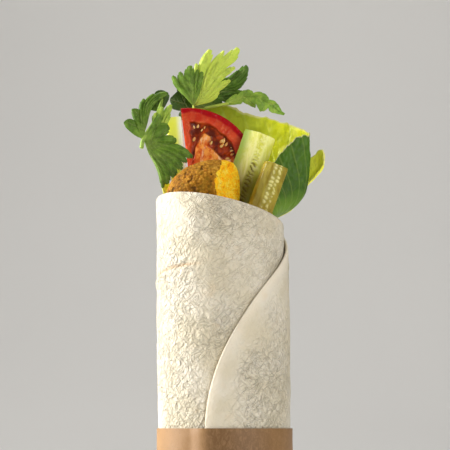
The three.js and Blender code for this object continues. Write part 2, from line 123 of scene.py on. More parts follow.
# Mesh building: vertices in millimetres, faces as index rows, one value per vertex for each attribute
def makeMesh(name, verts, faces, values=None):
    mesh = bpy.data.meshes.new(name)
    verts = np.asarray(verts, float).reshape(-1, 3) * mm
    loops = np.concatenate([np.asarray(f, int).ravel() for f in faces])
    sizes = np.concatenate([np.full(len(f), np.asarray(f).shape[1]) for f in faces])
    mesh.vertices.add(len(verts))
    mesh.vertices.foreach_set("co", verts.ravel())
    mesh.loops.add(len(loops))
    mesh.loops.foreach_set("vertex_index", loops)
    mesh.polygons.add(len(sizes))
    mesh.polygons.foreach_set("loop_start", np.concatenate([[0], np.cumsum(sizes)[:-1]]))
    mesh.polygons.foreach_set("use_smooth", np.ones(len(sizes), bool))
    for key, value in (values or {}).items():
        mesh.attributes.new(key, "FLOAT", "POINT").data.foreach_set("value", np.asarray(value, float).ravel())
    mesh.update(calc_edges=True)
    mesh.validate()
    obj = bpy.data.objects.new(name, mesh)
    bpy.context.scene.collection.objects.link(obj)
    return obj


def numbered(grid):  # vertex numbers of a 2D table of points
    return np.arange(grid.shape[0] * grid.shape[1]).reshape(grid.shape[:2])


def gridFaces(index, wrap=False):  # quads between neighbours in a 2D table of vertex numbers
    t = np.vstack([index, index[:1]]) if wrap else index
    return np.stack([t[:-1, :-1], t[1:, :-1], t[1:, 1:], t[:-1, 1:]], -1).reshape(-1, 4)


def tubeFaces(index):  # rings joined by quads, with one face over the first ring and one over the last
    return [gridFaces(index, True), index[::-1, 0][None, :], index[:, -1][None, :]]


def seams(count, length, lip):  # even shares from 0 to 1, with three more close to each end for a round edge
    ends = np.array([0, 0.12, 0.42, 1.0]) * lip / length
    return np.concatenate([ends[:-1], np.linspace(ends[-1], 1 - ends[-1], count), 1 - ends[:-1][::-1]])


# A plate with round edges: both faces stand half the thickness off the middle surface along its
# normal, and near each edge that offset falls to 0 as a half circle, so the faces meet there.
# front and back are extra heights of the two faces. The value "side" is 1 on the back.
def plate(name, centre, u, v, lengths, thickness, values, front=0.0, back=0.0):
    normal = unit(np.cross(np.gradient(centre, axis=0), np.gradient(centre, axis=1)))
    nu, nv = centre.shape[:2]
    half = np.broadcast_to(thickness, (nu, nv)) / 2
    du = np.minimum(u, 1 - u)[:, None] * lengths[0]
    dv = np.minimum(v, 1 - v)[None, :] * lengths[1]
    near = np.clip(np.minimum(du, dv) / np.maximum(half, 1e-6), 0, 1)
    off = half * np.sqrt(1 - (1 - near) ** 2)
    top = centre + normal * (off + near * front)[..., None]
    low = centre - normal * (off + near * back)[..., None]
    index = numbered(centre)
    under = index.copy()
    under[1:-1, 1:-1] = nu * nv + numbered(low[1:-1, 1:-1])
    verts = np.vstack([top.reshape(-1, 3), low[1:-1, 1:-1].reshape(-1, 3)])
    fields = {}
    for key, value in {**values, "side": 0.0}.items():
        value = np.broadcast_to(value, (nu, nv))
        fields[key] = np.concatenate([value.ravel(), value[1:-1, 1:-1].ravel() + (key == "side")])
    return makeMesh(name, verts, [gridFaces(index), gridFaces(under)[:, ::-1]], fields)


def joinPieces(name, parts):
    bpy.ops.object.select_all(action="DESELECT")
    for part in parts:
        part.select_set(True)
    bpy.context.view_layer.objects.active = parts[0]
    bpy.ops.object.join()
    parts[0].name = name
    parts[0].data.name = name
    return parts[0]


def mergeNear(piece, distance=0.004):  # joins the doubled vertices along seams
    work = bmesh.new()
    work.from_mesh(piece.data)
    bmesh.ops.remove_doubles(work, verts=work.verts, dist=distance * mm)
    bmesh.ops.recalc_face_normals(work, faces=work.faces)
    work.to_mesh(piece.data)
    work.free()
    return piece


def dress(piece, material, slot, *nodes):
    piece.data.materials.clear()
    piece.data.materials.append(material)
    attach(piece, "root")
    if nodes:
        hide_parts(*nodes)
    return piece


# A socket that understands + - and *: each adds a Math node
class Wire:
    def __init__(self, finish, socket):
        self.finish = finish
        self.socket = socket

    def maths(self, operation, first, second):
        return self.finish.add("ShaderNodeMath", {"operation": operation}, {0: first, 1: second})

    def __add__(self, other):
        return self.maths("ADD", self, other)

    def __radd__(self, other):
        return self.maths("ADD", other, self)

    def __sub__(self, other):
        return self.maths("SUBTRACT", self, other)

    def __rsub__(self, other):
        return self.maths("SUBTRACT", other, self)

    def __mul__(self, other):
        return self.maths("MULTIPLY", self, other)

    def __rmul__(self, other):
        return self.maths("MULTIPLY", other, self)

    def size(self):
        return self.finish.add("ShaderNodeMath", {"operation": "ABSOLUTE"}, {0: self})

    def within(self, low, high):  # eased step from 0 at low to 1 at high
        settings = {"interpolation_type": "SMOOTHSTEP"}
        return self.finish.add("ShaderNodeMapRange", settings, {"Value": self, "From Min": low, "From Max": high})


# One procedural material: add() makes any node, and the other methods are the ones used most
class Finish:
    def __init__(self, name, **constants):
        self.material = bpy.data.materials.new(name)
        self.material.use_nodes = True
        self.tree = self.material.node_tree
        self.shader = self.tree.nodes["Principled BSDF"]
        self.wear(**constants)
        self.at = self.add("ShaderNodeTexCoord", {}, {}, "Object")

    def add(self, kind, settings, inputs, output=0):
        node = self.tree.nodes.new(kind)
        for key, value in settings.items():
            setattr(node, key, value)
        for key, value in inputs.items():
            self.feed(node.inputs[key], value)
        return Wire(self, node.outputs[output])

    def feed(self, socket, value):
        if isinstance(value, Wire):
            self.tree.links.new(value.socket, socket)
        else:
            socket.default_value = value

    def wear(self, **sockets):
        for key, value in sockets.items():
            self.feed(self.shader.inputs[key.replace("_", " ")], value)
        return self.material

    def value(self, name):  # a number stored on each vertex of the piece
        return self.add("ShaderNodeAttribute", {"attribute_name": name}, {}, "Fac")

    def place(self, stretch, turn=0, at=None):  # coordinates turned by `turn` degrees, then stretched
        inputs = {"Vector": at or self.at, "Angle": turn * rad}
        turned = self.add("ShaderNodeVectorRotate", {"rotation_type": "Z_AXIS"}, inputs)
        return self.add("ShaderNodeMapping", {}, {"Vector": turned, "Scale": stretch})

    def noise(self, scale, detail=3.0, rough=0.55, warp=0.0, at=None):
        inputs = {"Vector": at or self.at, "Scale": scale, "Detail": detail, "Roughness": rough,
                  "Distortion": warp}
        return self.add("ShaderNodeTexNoise", {}, inputs, "Fac")

    def grains(self, scale, at=None):
        return self.add("ShaderNodeTexVoronoi", {}, {"Vector": at or self.at, "Scale": scale}, "Distance")

    def ramp(self, value, *stops):
        wire = self.add("ShaderNodeValToRGB", {}, {"Fac": value}, "Color")
        elements = wire.socket.node.color_ramp.elements
        while len(elements) < len(stops):
            elements.new(0.5)
        for element, (place, colour) in zip(elements, stops):
            element.position = place
            element.color = tone(*colour)
        return wire

    def blend(self, share, first, second):
        pair = [tone(*c) if isinstance(c, tuple) else c for c in (first, second)]
        return self.add("ShaderNodeMix", {"data_type": "RGBA"}, {0: share, 6: pair[0], 7: pair[1]}, 2)

    def bump(self, height, distance, strength=1.0, under=None):
        inputs = {"Height": height, "Distance": distance * mm, "Strength": strength}
        if under:
            inputs["Normal"] = under
        return self.add("ShaderNodeBump", {}, inputs, "Normal")


def tone(r, g, b):  # a colour given as 0 to 255 on screen, as linear light
    screen = np.array([r, g, b]) / 255
    return (*np.where(screen < 0.0404, screen / 12.92, ((screen + 0.055) / 1.055) ** 2.4).tolist(), 1.0)


# The roll: what all the pieces are placed by
roll = {
    "lowRadius": 28.8,  # radius under the flap, low on the roll
    "taper": 0.5,  # how much slimmer it is at the mouth
    "taperFrom": (100, 160),
    "lean": 0.008,  # how far the axis leans to the left for each mm up
    "step": 2.1,  # how far the flap stands out at its edge
    "flapStart": -15,  # angle of the flap's edge in the sleeve, degrees from the front
    "flapCurve": 0.0125,  # degrees for each mm squared above flapLevel
    "flapLevel": 58,
    "flapSweep": 0.02,  # degrees more for each mm squared above sweepLevel
    "sweepLevel": 115,
    "rimMean": 157.95,
    "rimSlant": 7.25,
    "rimHighAngle": -55,
    "sleeveHeight": 60,
}


def axisX(z):
    return 0.5 - roll["lean"] * (z - roll["sleeveHeight"])


def flapEdge(z):  # a straight edge in the sleeve that sweeps to the right above it, as two squares of height
    low, high = np.maximum(0, z - roll["flapLevel"]), np.maximum(0, z - roll["sweepLevel"])
    return roll["flapStart"] + roll["flapCurve"] * low ** 2 + roll["flapSweep"] * high ** 2


def rimHeight(angle):  # one cosine round the roll
    return roll["rimMean"] + roll["rimSlant"] * np.cos((angle - roll["rimHighAngle"]) * rad)


def rollBase(z):
    return roll["lowRadius"] - roll["taper"] * smooth(*roll["taperFrom"], z)


def wrapStep(turn):  # the flap's step dies out as a squared cosine over the first turn
    return roll["step"] * np.cos(np.pi * np.clip(turn, 0, 1) / 2) ** 2


def onRoll(angle, radius, z):  # angle in degrees from the front, towards the right
    return xyz(axisX(z) + radius * np.sin(angle * rad), -radius * np.cos(angle * rad), z)


print("tools ready")

# Tortilla
tortilla = {
    "turns": 1.3,
    "size": (245, 157),  # length round the roll, and height
    "thickness": 1.7,
    "lipThickness": 1.15,
    "hiddenThickness": 1.6,
    "foot": 1.6,
    "counts": (250, 150),
    "reliefFrom": (62, 72),  # wrinkles ease in between these heights
    "wrinkleHeight": 0.26,
    "blisterHeight": 0.35,
    "creaseDepth": 0.75,
    "creaseHeight": 132.5,
    "creaseAngle": -14,
    "creaseBend": 0.00095,  # mm down for each degree squared
    "nickAngle": -68,
    "endHeights": (1.7, 3.4),
}


def makeTortilla():
    # A sheet rolled 1.3 turns. Column u is turned 360 * turns * u from the flap's edge, row v goes
    # from the foot to the slanted rim, and the radius falls by one step in the first turn.
    t = tortilla
    u = seams(t["counts"][0], t["size"][0], 0.8)
    rows = np.linspace(0.33, 0.992, t["counts"][1])
    v = np.concatenate([np.linspace(0, 0.3, 8), rows, [0.9955, 0.9985, 0.9996, 1]])
    foot = t["foot"]
    edge = foot + (roll["rimMean"] - foot) * v
    for _ in range(12):  # the edge's height and its angle depend on each other
        edge = foot + (rimHeight(flapEdge(edge)) - foot) * v
    turn = (u * t["turns"])[:, None]
    angle = flapEdge(edge)[None, :] + 360 * turn
    z = foot + (rimHeight(angle) - foot) * v[None, :]
    under = turn > 1
    thick = mix(t["lipThickness"], t["thickness"], smooth(0, 0.035, turn))
    thick = np.where(under, t["hiddenThickness"], thick)
    radius = rollBase(z) + wrapStep(turn) - thick / 2 - 0.3 * smooth(1.0, 1.05, turn)
    radius = radius - 0.25 * (1 - smooth(0, 0.02, turn)) * smooth(62, 75, z)
    arc = xyz(radius * (angle * rad), z, turn * 40)
    # A few slow waves, short crossing wrinkles in patches, and a smooth band beside the flap's edge
    slow = 0.28 * noise(arc, 26, 3) + 0.16 * noise(arc, 11, 5)
    bent = arc + 1.6 * xyz(noise(arc, 5, 11), noise(arc, 5, 12), 0)
    x, y, layer = bent[..., 0], bent[..., 1], arc[..., 2]
    crumple = ridged(xyz(x * 0.8 + y * 0.6, (y * 0.8 - x * 0.6) * 0.45, layer), 2.6, 21) * 0.55
    crumple = crumple + ridged(xyz((x * 0.7 - y * 0.7) * 0.5, y * 0.7 + x * 0.7, layer), 2.3, 22) * 0.45
    band = smooth(0.018, 0.075, turn) * (1 - under)
    patch = np.clip(0.72 + 0.7 * noise(arc, 17, 31), 0.2, 1) * band
    blister = smooth(0.45, 0.9, noise(arc, 9, 41)) * band
    relief = slow + t["wrinkleHeight"] * crumple * patch + t["blisterHeight"] * blister
    # The curved crease on the left: a groove with a raised fold under it, and a nick below them
    deg = (angle + 180) % 360 - 180
    outer = turn > 0.4  # the layer that the left side shows
    here = between(deg, -104, -12, 20, 22) * outer
    d = z - t["creaseHeight"] + t["creaseBend"] * (deg - t["creaseAngle"]) ** 2
    nick = hump(deg - t["nickAngle"] + 1.2 * np.sin(z), 0.9) * between(z, 73, 85, 3, 3) * outer
    groove = np.maximum(hump(d, 0.7) * here, 0.7 * nick)
    fold = hump(d + 2.0, 1.5) * here
    relief = smooth(*t["reliefFrom"], z) * relief - t["creaseDepth"] * groove + 0.5 * fold
    # The finish paints shade into groove and a highlight along edge
    fields = {"groove": groove, "patch": patch, "edge": 1 - smooth(0.004, 0.03, turn), "across": arc[..., 0] * mm,
              "up": z * mm}
    sheet = plate("tortilla_sheet", onRoll(angle, radius, z), u, v, t["size"], thick, fields,
                  np.clip(relief, -0.8, 1.0))
    # Folded lower end: a dished disc inside the sleeve, as rings out along its lower face and back in
    r = np.linspace(0.02, 1, 14)[None, :]
    a = np.linspace(0, 360, 65)[:-1][:, None]
    pleat = 0.5 * np.sin(a * rad * 9) * r * (1 - r)
    rim = rollBase(2.0) - 1.4
    low, high = t["endHeights"]
    disc = np.concatenate([onRoll(a, rim * r, low + 0.6 * (1 - r) + pleat),
                           onRoll(a, rim * r, high + pleat)[:, ::-1]], 1)
    end = makeMesh("tortilla_end", disc, tubeFaces(numbered(disc)))
    return joinPieces("tortilla_roll", [sheet, end])


def flatbreadFinish():
    f = Finish("flatbread", Subsurface_Weight=0.08, Subsurface_Scale=0.001, Specular_IOR_Level=0.2,
               Subsurface_Radius=(1.0, 0.75, 0.5))
    flat = f.add("ShaderNodeCombineXYZ", {}, {0: f.value("across"), 1: f.value("up"), 2: 0.0}, "Vector")
    patch = f.value("patch")
    broad = f.noise(55, 3, 0.5, at=flat)
    mottle = f.noise(520, 4, 0.65, 0.8, at=flat)
    # Crumpled skin: small facets, and short creases that cross at a slant
    jumble = f.add("ShaderNodeTexNoise", {}, {"Vector": flat, "Scale": 330.0}, "Color")
    shaken = f.add("ShaderNodeMix", {"data_type": "VECTOR"}, {0: 0.0015, 4: flat, 5: jumble}, 1)
    facets = f.grains(400, f.place((1, 0.75, 1), 30, shaken))
    creases = 1 - (f.noise(440, 2, 0.5, 0.6, f.place((1, 0.4, 1), 42, flat)) - 0.5).size().within(0, 0.1)
    crossing = 1 - (f.noise(410, 2, 0.5, 0.6, f.place((1, 0.42, 1), -38, flat)) - 0.5).size().within(0, 0.1)
    height = facets * 0.7 + creases * 0.45 + crossing * 0.4
    base = f.blend(broad.within(0.35, 0.65), (218, 209, 190), (208, 197, 172))
    # Painted shade: darker in the hollows of the crumpled facets, where the bump is lowest
    base = f.blend((1 - facets.within(0.1, 0.7)) * patch * 0.45, base, (188, 178, 152))
    base = f.blend(mottle.within(0.54, 0.7) * patch * 0.5, base, (192, 182, 158))
    toasted = f.noise(120, 2, 0.5, at=flat).within(0.6, 0.76)
    base = f.blend(toasted * 0.3, base, (212, 188, 152))
    # Painted shade: brown along the crease groove and the nick
    base = f.blend(f.value("groove") * 0.6, base, (190, 152, 104))
    # Painted highlight: paler along the flap's lip, fading over a few mm
    base = f.blend(f.value("edge") * 0.5, base, (238, 226, 204))
    relief = f.bump(height * (0.12 + 0.88 * patch), 1.15)
    relief = f.bump(f.noise(2600, 2, 0.5), 0.06, 0.5, relief)
    return f.wear(Base_Color=base, Normal=relief, Roughness=0.66 + 0.2 * mottle)


# Paper sleeve
sleeve = {
    "size": (195, 90),  # the paper's length round the roll, and its height with what is folded under
    "thickness": 0.32,
    "clearance": 0.35,
    "bridgeAngle": 15,  # where the paper leaves the roll to pass over the flap's edge
    "seamAngle": 168,
    "turned": 372,  # degrees from one end of the paper to the other
    "lap": 0.45,  # how far the outer end stands out where it laps over the other
    "corner": (3.2, 3.6),  # how far the wall draws in and comes down round the lower corner
    "foldInset": 26.2,
    "foldHeight": 0.22,
    "foldAngle": 24,
    "counts": (260, 70),
}


def sleeveRadius(angle):  # the roll's radius, with an eased bridge up to the flap's edge
    turn = ((angle - roll["flapStart"]) % 360) / 360
    bridge = smooth(sleeve["bridgeAngle"], 0, (1 - turn) * 360)
    return roll["lowRadius"] + sleeve["clearance"] + 0.28 + np.maximum(wrapStep(turn), roll["step"] * bridge)


def makeSleeve():
    # Paper wrapped once with a lapped seam at the back. The profile goes straight down, round the
    # corner as a quarter of an ellipse and in to the middle of the base, with pleats folded under.
    s = sleeve
    height = roll["sleeveHeight"]
    u = seams(s["counts"][0], s["size"][0], 0.5)
    down = np.concatenate([[1, 0.9995, 0.998, 0.995], np.linspace(0.985, 0.06, s["counts"][1])]) * height
    angle = (s["seamAngle"] + s["turned"] * u)[:, None]
    front = angle - 360
    # Painted shade: the paper is coloured darker just right of the flap's edge, where it turns away from the key
    # light, and less dark further round
    turnedAway = smooth(-16, -9, front) * mix(1, 0.45, smooth(12, 55, front)) * (1 - smooth(80, 120, front))
    lap = s["lap"] * smooth(0.9, 0.965, u)[:, None]
    z = down[None, :]
    spot = xyz(sleeveRadius(angle) * np.sin(angle * rad), -30 * np.cos(angle * rad), z)
    wave = 0.16 * noise(spot, 14, 51) + 0.1 * noise(spot * [1, 1, 0.3], 7, 53)
    crinkle = 0.1 * ridged(spot * [0.7, 0.7, 1.0], 9, 57) * smooth(0, 30, z)
    wall = onRoll(angle, sleeveRadius(angle) + wave + crinkle + lap, z)
    share = np.linspace(0, 1, 26)[1:]
    bend = np.clip(share / 0.2, 0, 1) * math.pi / 2
    inset = s["corner"][0] * (1 - np.cos(bend)) + np.clip((share - 0.2) / 0.8, 0, 1) * s["foldInset"]
    level = s["corner"][1] * (1 - np.sin(bend)) + s["thickness"] / 2
    folds = np.abs(((angle / s["foldAngle"]) % 1) - 0.5) * s["foldHeight"] * between(share, 0.12, 1, 0.23, 0.45)
    base = onRoll(angle, np.maximum(sleeveRadius(angle) + lap - inset, 0.7), level + folds + 0.22 * lap)
    centre = np.concatenate([wall, base], 1)
    v = np.concatenate([1 - down / height * 0.62, 0.62 + 0.38 * share])
    v[0], v[-1] = 0, 1
    return plate("sleeve_paper", centre[:, ::-1], u, (1 - v)[::-1], s["size"], s["thickness"],
                 {"turnedAway": turnedAway})


def kraftFinish():
    f = Finish("kraft_paper", Specular_IOR_Level=0.4)
    fibres = f.noise(620, 4, 0.65, 1.2, f.place((1, 1, 0.6)))
    specks = f.noise(2100, 2, 0.6)
    broad = f.noise(40, 3, 0.5)
    base = f.blend(broad.within(0.35, 0.65), (164, 124, 78), (142, 106, 64))
    # Painted shade: darker paper from the flap's edge round to the right
    base = f.blend(f.value("turnedAway") * 0.85, base, (104, 72, 36))
    base = f.blend(fibres.within(0.42, 0.66) * 0.45, base, (156, 120, 82))
    base = f.blend(specks.within(0.62, 0.7) * 0.5, base, (92, 64, 38))
    height = fibres * 0.6 + specks * 0.4
    return f.wear(Base_Color=base, Normal=f.bump(height, 0.08, 0.7), Roughness=0.45 + 0.16 * fibres)


print("roll and sleeve")

# Falafel
falafel = {
    "centre": (-7.5, -7.1, 163.0),
    "half": (17.9, 11.7, 16.9),
    "breakPoint": (-2.5, -18.5, 161.0),
    "breakFacing": (0.87, -0.5, 0.03),
    "shoulderFacing": (0.63, 0.39, 0.67),  # the crust bulges out above the broken face
    "shoulderHeight": 0.33,
    "shoulderWidth": 0.63,
    "detail": 124,
    "cragHeight": 0.55,
    "crumbHeight": 1.0,
}


def sphereGrid(count):  # unit directions on a square grid over each of the six faces of a cube
    g = np.tan(np.linspace(-1, 1, count) * math.pi / 4)
    a, b = np.meshgrid(g, g, indexing="ij")
    faces = ((1, a, b), (-1, -a, b), (-a, 1, b), (a, -1, b), (-b, a, 1), (b, a, -1))
    return [unit(xyz(*face)) for face in faces]


def makeFalafel():
    # An ellipsoid pushed in and out by layered noise and round lumps, cut by a plane at the broken
    # face, where clumps of crumb stand out instead.
    d = falafel
    facing = unit(np.array(d["breakFacing"]))
    shoulder = unit(np.array(d["shoulderFacing"]))
    centre = np.array(d["centre"])
    reach = float((np.array(d["breakPoint"]) - centre) @ facing)
    verts, faces, broken, heights = [], [], [], []
    for way in sphereGrid(d["detail"]):
        away = np.arccos(np.clip(way @ shoulder, -1, 1))
        p = way * (1 + d["shoulderHeight"] * hump(away, d["shoulderWidth"]))[..., None] * np.array(d["half"])
        crags = 0.6 * layered(p, 7, 3, 61) + 0.4 * layered(p, 2.2, 3, 62)
        lump = 0.5 - cells(p, 1.25, 63)
        hole = smooth(0.4, 0.7, noise(p, 1.5, 66)) * 0.6
        size = np.linalg.norm(p, axis=-1, keepdims=True)
        skin = p * (1 + (d["cragHeight"] * (crags + lump * 0.8 - hole) - 0.25)[..., None] / size)
        over = skin @ facing
        flat = skin * np.where(over > reach, reach / np.maximum(over, 1e-6), 1.0)[..., None]
        crumb = (0.5 - cells(flat, 1.5, 71)) * 1.1 + layered(flat, 4.5, 3, 73) * 1.1
        crumb = d["crumbHeight"] * (crumb + (0.5 - cells(flat, 0.8, 75)) * 0.6) - 0.35
        flat = flat + facing * (crumb * smooth(0, 1.4, over - reach))[..., None]
        behind = smooth(0, 6, skin @ np.array([0.5, 0.87, 0]))  # no rim of crust shows at the back edge
        past = over - reach + 0.06 * p[..., 2] + 2.2 * behind + 1.3 * layered(p, 3.2, 3, 77)
        faces.append(gridFaces(numbered(way)) + sum(len(v) for v in verts))
        verts.append((flat + centre).reshape(-1, 3))
        broken.append(smooth(-0.9, 0.7, past).ravel())
        # height also sets the crust colour: painted shade in the hollows, lighter on the lumps
        heights.append(np.clip(0.5 + 0.7 * lump - hole + 0.6 * crags, 0, 1).ravel())
    fields = {"broken": np.concatenate(broken), "height": np.concatenate(heights)}
    return mergeNear(makeMesh("falafel_patty", np.vstack(verts), faces, fields))


def falafelFinish():
    f = Finish("falafel", Specular_IOR_Level=0.15)
    grain = f.noise(1150, 4, 0.72)
    coarse = f.noise(260, 3, 0.6)
    # Partly painted shade: the crust is darker where its height is low, in the hollows, and lighter on the lumps,
    # mixed half with fine grain
    crust = f.ramp(f.value("height") * 0.5 + grain * 0.5, (0.2, (72, 44, 4)), (0.34, (122, 78, 8)),
                   (0.5, (160, 106, 18)), (0.64, (192, 138, 40)), (0.8, (228, 172, 78)))
    green = f.noise(240, 3, 0.6).within(0.5, 0.65)
    crust = f.blend(green * 0.45, crust, (134, 104, 18))
    crust = f.blend(f.noise(330, 3, 0.6, 0, f.place((1, 1, 1), 60)).within(0.54, 0.66) * 0.5, crust, (196, 118, 30))
    inside = f.ramp(grain * 0.5 + coarse * 0.5, (0.34, (226, 116, 2)), (0.44, (255, 176, 10)),
                    (0.54, (255, 212, 40)), (0.7, (255, 236, 130)))
    flecks = f.noise(1300, 2, 0.5).within(0.64, 0.7)
    inside = f.blend(flecks * 0.5, inside, (170, 120, 16))
    base = f.blend(f.value("broken").within(0.25, 0.7), crust, inside)
    bump = f.bump(grain + 0.6 * f.noise(2400, 2, 0.6), 0.35, 0.9)
    return f.wear(Base_Color=base, Normal=bump, Roughness=0.55 + 0.35 * grain)


print("falafel")

# Tomato: half of a round slice standing on its skin
tomato = {
    "centre": (-15.2, 11.2, 176.4),
    "radius": 32.0,
    "skinRound": 1.2,  # the skin is rounded over this far in from the radius
    "thickness": 5.7,
    "tilt": 7,
    "wall": 5.2,
    # From and to in degrees above level, then from and to in mm from the middle
    "chambers": ((87, 63, 6, 25.6), (85, 10, 21, 25.8), (54, 12, 16, 25.8), (2, -40, 14, 25.6),
                 (-52, -84, 11, 25.6)),
    "core": (20, 24.5),  # the pale middle fades out between these distances
    "gelDepth": 1.9,
    "cutWall": 2.2,  # flesh left along the straight edge
    "seedHalf": (0.72, 0.45, 1.35),
    "seedSpacing": 6.5,  # degrees
}


def placeTomato(x, depth, z):  # slice coordinates to the wrap: depth is measured back from the front face
    c, s = math.cos(tomato["tilt"] * rad), math.sin(tomato["tilt"] * rad)
    cx, cy, cz = tomato["centre"]
    return xyz(cx + x * c - z * s, cy + depth, cz + x * s + z * c)


def tomatoChamber(deg, r):  # how far inside a seed chamber a point of the cut face is, in mm
    inside = -9.0
    for high, low, near, far in tomato["chambers"]:
        around = np.minimum(high - deg, deg - low) * rad * r
        inside = np.maximum(inside, np.minimum(around, np.minimum(r - near, far - r)))
    return np.minimum(inside, r * np.cos(deg * rad) - tomato["cutWall"])


def makeTomato():
    # Polar grid on the half disc. The front face is sunk in the seed chambers and crowned on the
    # walls; the skin is a half round edge; the back is nearly flat.
    t = tomato
    radius, thickness = t["radius"], t["thickness"]
    deg = np.concatenate([[90, 89.8, 89.3], np.linspace(88.5, -88.5, 300), [-89.3, -89.8, -90]])
    r = np.concatenate([[0.4], np.linspace(1, radius - t["skinRound"], 120)])
    deg, r = np.meshgrid(deg, r, indexing="ij")
    side = deg[:, :1]
    flatX, flatZ = r * np.cos(deg * rad), r * np.sin(deg * rad)
    spot = xyz(flatX, flatZ, 0)
    wobble = 1.3 * noise(spot, 6, 81) + 0.6 * noise(spot, 2.5, 82)
    gel = smooth(0.1, 1.3, tomatoChamber(deg, r) + wobble)
    core = (1 - smooth(*t["core"], r + 2 * noise(spot, 8, 86))) * smooth(3, 6.5, flatX + noise(spot, 5, 87))
    streak = noise(xyz(deg * 0.5, r * 0.25, 0), 1.0, 88)
    sink = t["gelDepth"] * gel * (0.8 + 0.25 * noise(spot, 3.2, 83))
    uneven = 0.2 * layered(spot, 7, 3, 84) + 0.1 * ridged(spot, 2.2, 85) + 0.12 * streak
    uneven = uneven - 0.7 * core * (1 - gel) * smooth(-1.5, 0.5, noise(spot, 4.5, 89))
    edgeRound = 0.35 * (1 - smooth(0, 1.1, flatX))
    face = placeTomato(flatX, sink + uneven + edgeRound + 0.25, flatZ)
    around = np.linspace(0, math.pi, 15)[1:-1][None, :]
    skinR = radius - t["skinRound"] * (1 - np.sin(around) ** 0.7)
    skinDepth = 0.25 + (thickness - 0.3) * (1 - np.cos(around)) / 2
    skin = placeTomato(skinR * np.cos(side * rad), skinDepth, skinR * np.sin(side * rad))
    back = placeTomato(flatX, thickness - 0.05, flatZ)[:, ::-1]
    grid = np.concatenate([face, skin, back], 1)
    rind = smooth(radius - t["wall"], radius - 0.4, r)
    frontSkin = smooth(radius - 3.4, radius - 2.4, r + 0.6 * wobble)
    backSkin = smooth(radius - 1.0, radius - 0.3, r)
    rows = {"gel": (gel, 0, 0 * gel), "core": (core, 0, core), "rind": (rind, 1, rind),
            "skin": (frontSkin, 1, backSkin), "streak": (streak, 0, streak)}
    fields = {}
    for key, (front, edge, rear) in rows.items():
        fields[key] = np.concatenate([front, np.full(skin.shape[:2], edge), rear[:, ::-1]], 1)
    # The two straight ends of the polar grid lie on the cut edge. Each is folded on itself from its
    # outer end inwards, and strips join the two sides.
    index = numbered(grid)
    count = grid.shape[1]
    half = count // 2
    quads = [gridFaces(np.stack([loop[:half], loop[::-1][:half]], -1)) for loop in (index[0], index[-1])]
    rest = [loop[None, half - 1:count - half + 1] for loop in (index[0], index[-1])]
    faces = [gridFaces(index), quads[0][:, ::-1], rest[0], quads[1], rest[1][:, ::-1],
             np.array([[index[0, 0], index[0, -1], index[-1, -1], index[-1, 0]]]),
             index[None, :, 0], index[None, ::-1, -1]]
    return mergeNear(makeMesh("tomato_half_slice", grid, faces, fields))


def makeSeeds():
    # Flat teardrops lying in the gel: an ellipsoid with one pointed end, at jittered places
    t = tomato
    rng = np.random.default_rng(7)
    a = np.linspace(0, 2 * math.pi, 13)[:-1][:, None]
    b = np.linspace(0.04, math.pi - 0.04, 8)[None, :]
    wide, thick, long = t["seedHalf"]
    x, y, z = wide * np.sin(b) * np.cos(a) * (1 - 0.35 * np.cos(b)), thick * np.sin(b) * np.sin(a), long * np.cos(b)
    verts, faces = [], []
    for high, low, near, far in t["chambers"]:
        for deg in np.arange(low + 4, high - 3, t["seedSpacing"]):
            deg = deg + rng.uniform(-2, 2)
            r = mix(max(near, 15), far, rng.uniform(0.25, 0.7))
            if tomatoChamber(deg, r) < 0.8:
                continue
            turn = (rng.uniform(-22, 22) + 90 - deg) * rad
            c, s = math.cos(turn), math.sin(turn)
            size = rng.uniform(0.8, 1.1)
            depth = t["gelDepth"] + 0.15 + y + rng.uniform(-0.25, 0.1)
            seed = placeTomato((x * c + z * s) * size + r * math.cos(deg * rad), depth,
                               (z * c - x * s) * size + r * math.sin(deg * rad))
            faces += [rows + sum(len(v) for v in verts) for rows in tubeFaces(numbered(seed))]
            verts.append(seed.reshape(-1, 3))
    return mergeNear(makeMesh("tomato_seeds", np.vstack(verts), faces))


def tomatoFinish():
    f = Finish("tomato", Specular_IOR_Level=0.22, Subsurface_Weight=0.2, Subsurface_Scale=0.0012,
               Subsurface_Radius=(1.0, 0.25, 0.12), Coat_Weight=0.04, Coat_Roughness=0.08)
    fine = f.noise(420, 4, 0.6)
    cloud = f.noise(150, 3, 0.6)
    streaks = f.noise(300, 3, 0.6, 0, f.place((1, 1, 0.35)))
    flesh = f.blend(cloud.within(0.35, 0.65), (192, 48, 24), (220, 84, 44))
    flesh = f.blend(f.value("streak").within(-0.5, 0.7) * 0.35, flesh, (206, 92, 50))
    flesh = f.blend(fine.within(0.55, 0.7) * 0.3, flesh, (232, 142, 90))
    wall = f.blend(f.value("rind") * 0.6, flesh, (184, 38, 24))
    core = f.blend(fine.within(0.36, 0.62), (222, 92, 26), (255, 168, 70))
    # Pale streaks over the core: partly its own paler tissue, partly painted highlight for its wet glints
    core = f.blend(streaks.within(0.52, 0.66) * 0.7, core, (255, 214, 164))
    wall = f.blend(f.value("core"), wall, core)
    gel = f.blend(cloud.within(0.42, 0.62), (98, 26, 0), (176, 62, 6))
    base = f.blend(f.value("gel"), wall, gel)
    base = f.blend(f.value("skin"), base, (166, 2, 12))
    return f.wear(Base_Color=base, Normal=f.bump(fine, 0.5, 0.8), Roughness=0.12 + 0.2 * fine)


def seedFinish():
    f = Finish("tomato_seed", Roughness=0.2, Subsurface_Weight=0.3, Subsurface_Scale=0.001, Coat_Weight=0.6)
    base = f.blend(f.noise(900, 2, 0.5).within(0.4, 0.6), (222, 148, 56), (244, 200, 112))
    return f.wear(Base_Color=base, Normal=f.bump(f.noise(1800, 2, 0.5), 0.08, 0.5))


print("tomato")

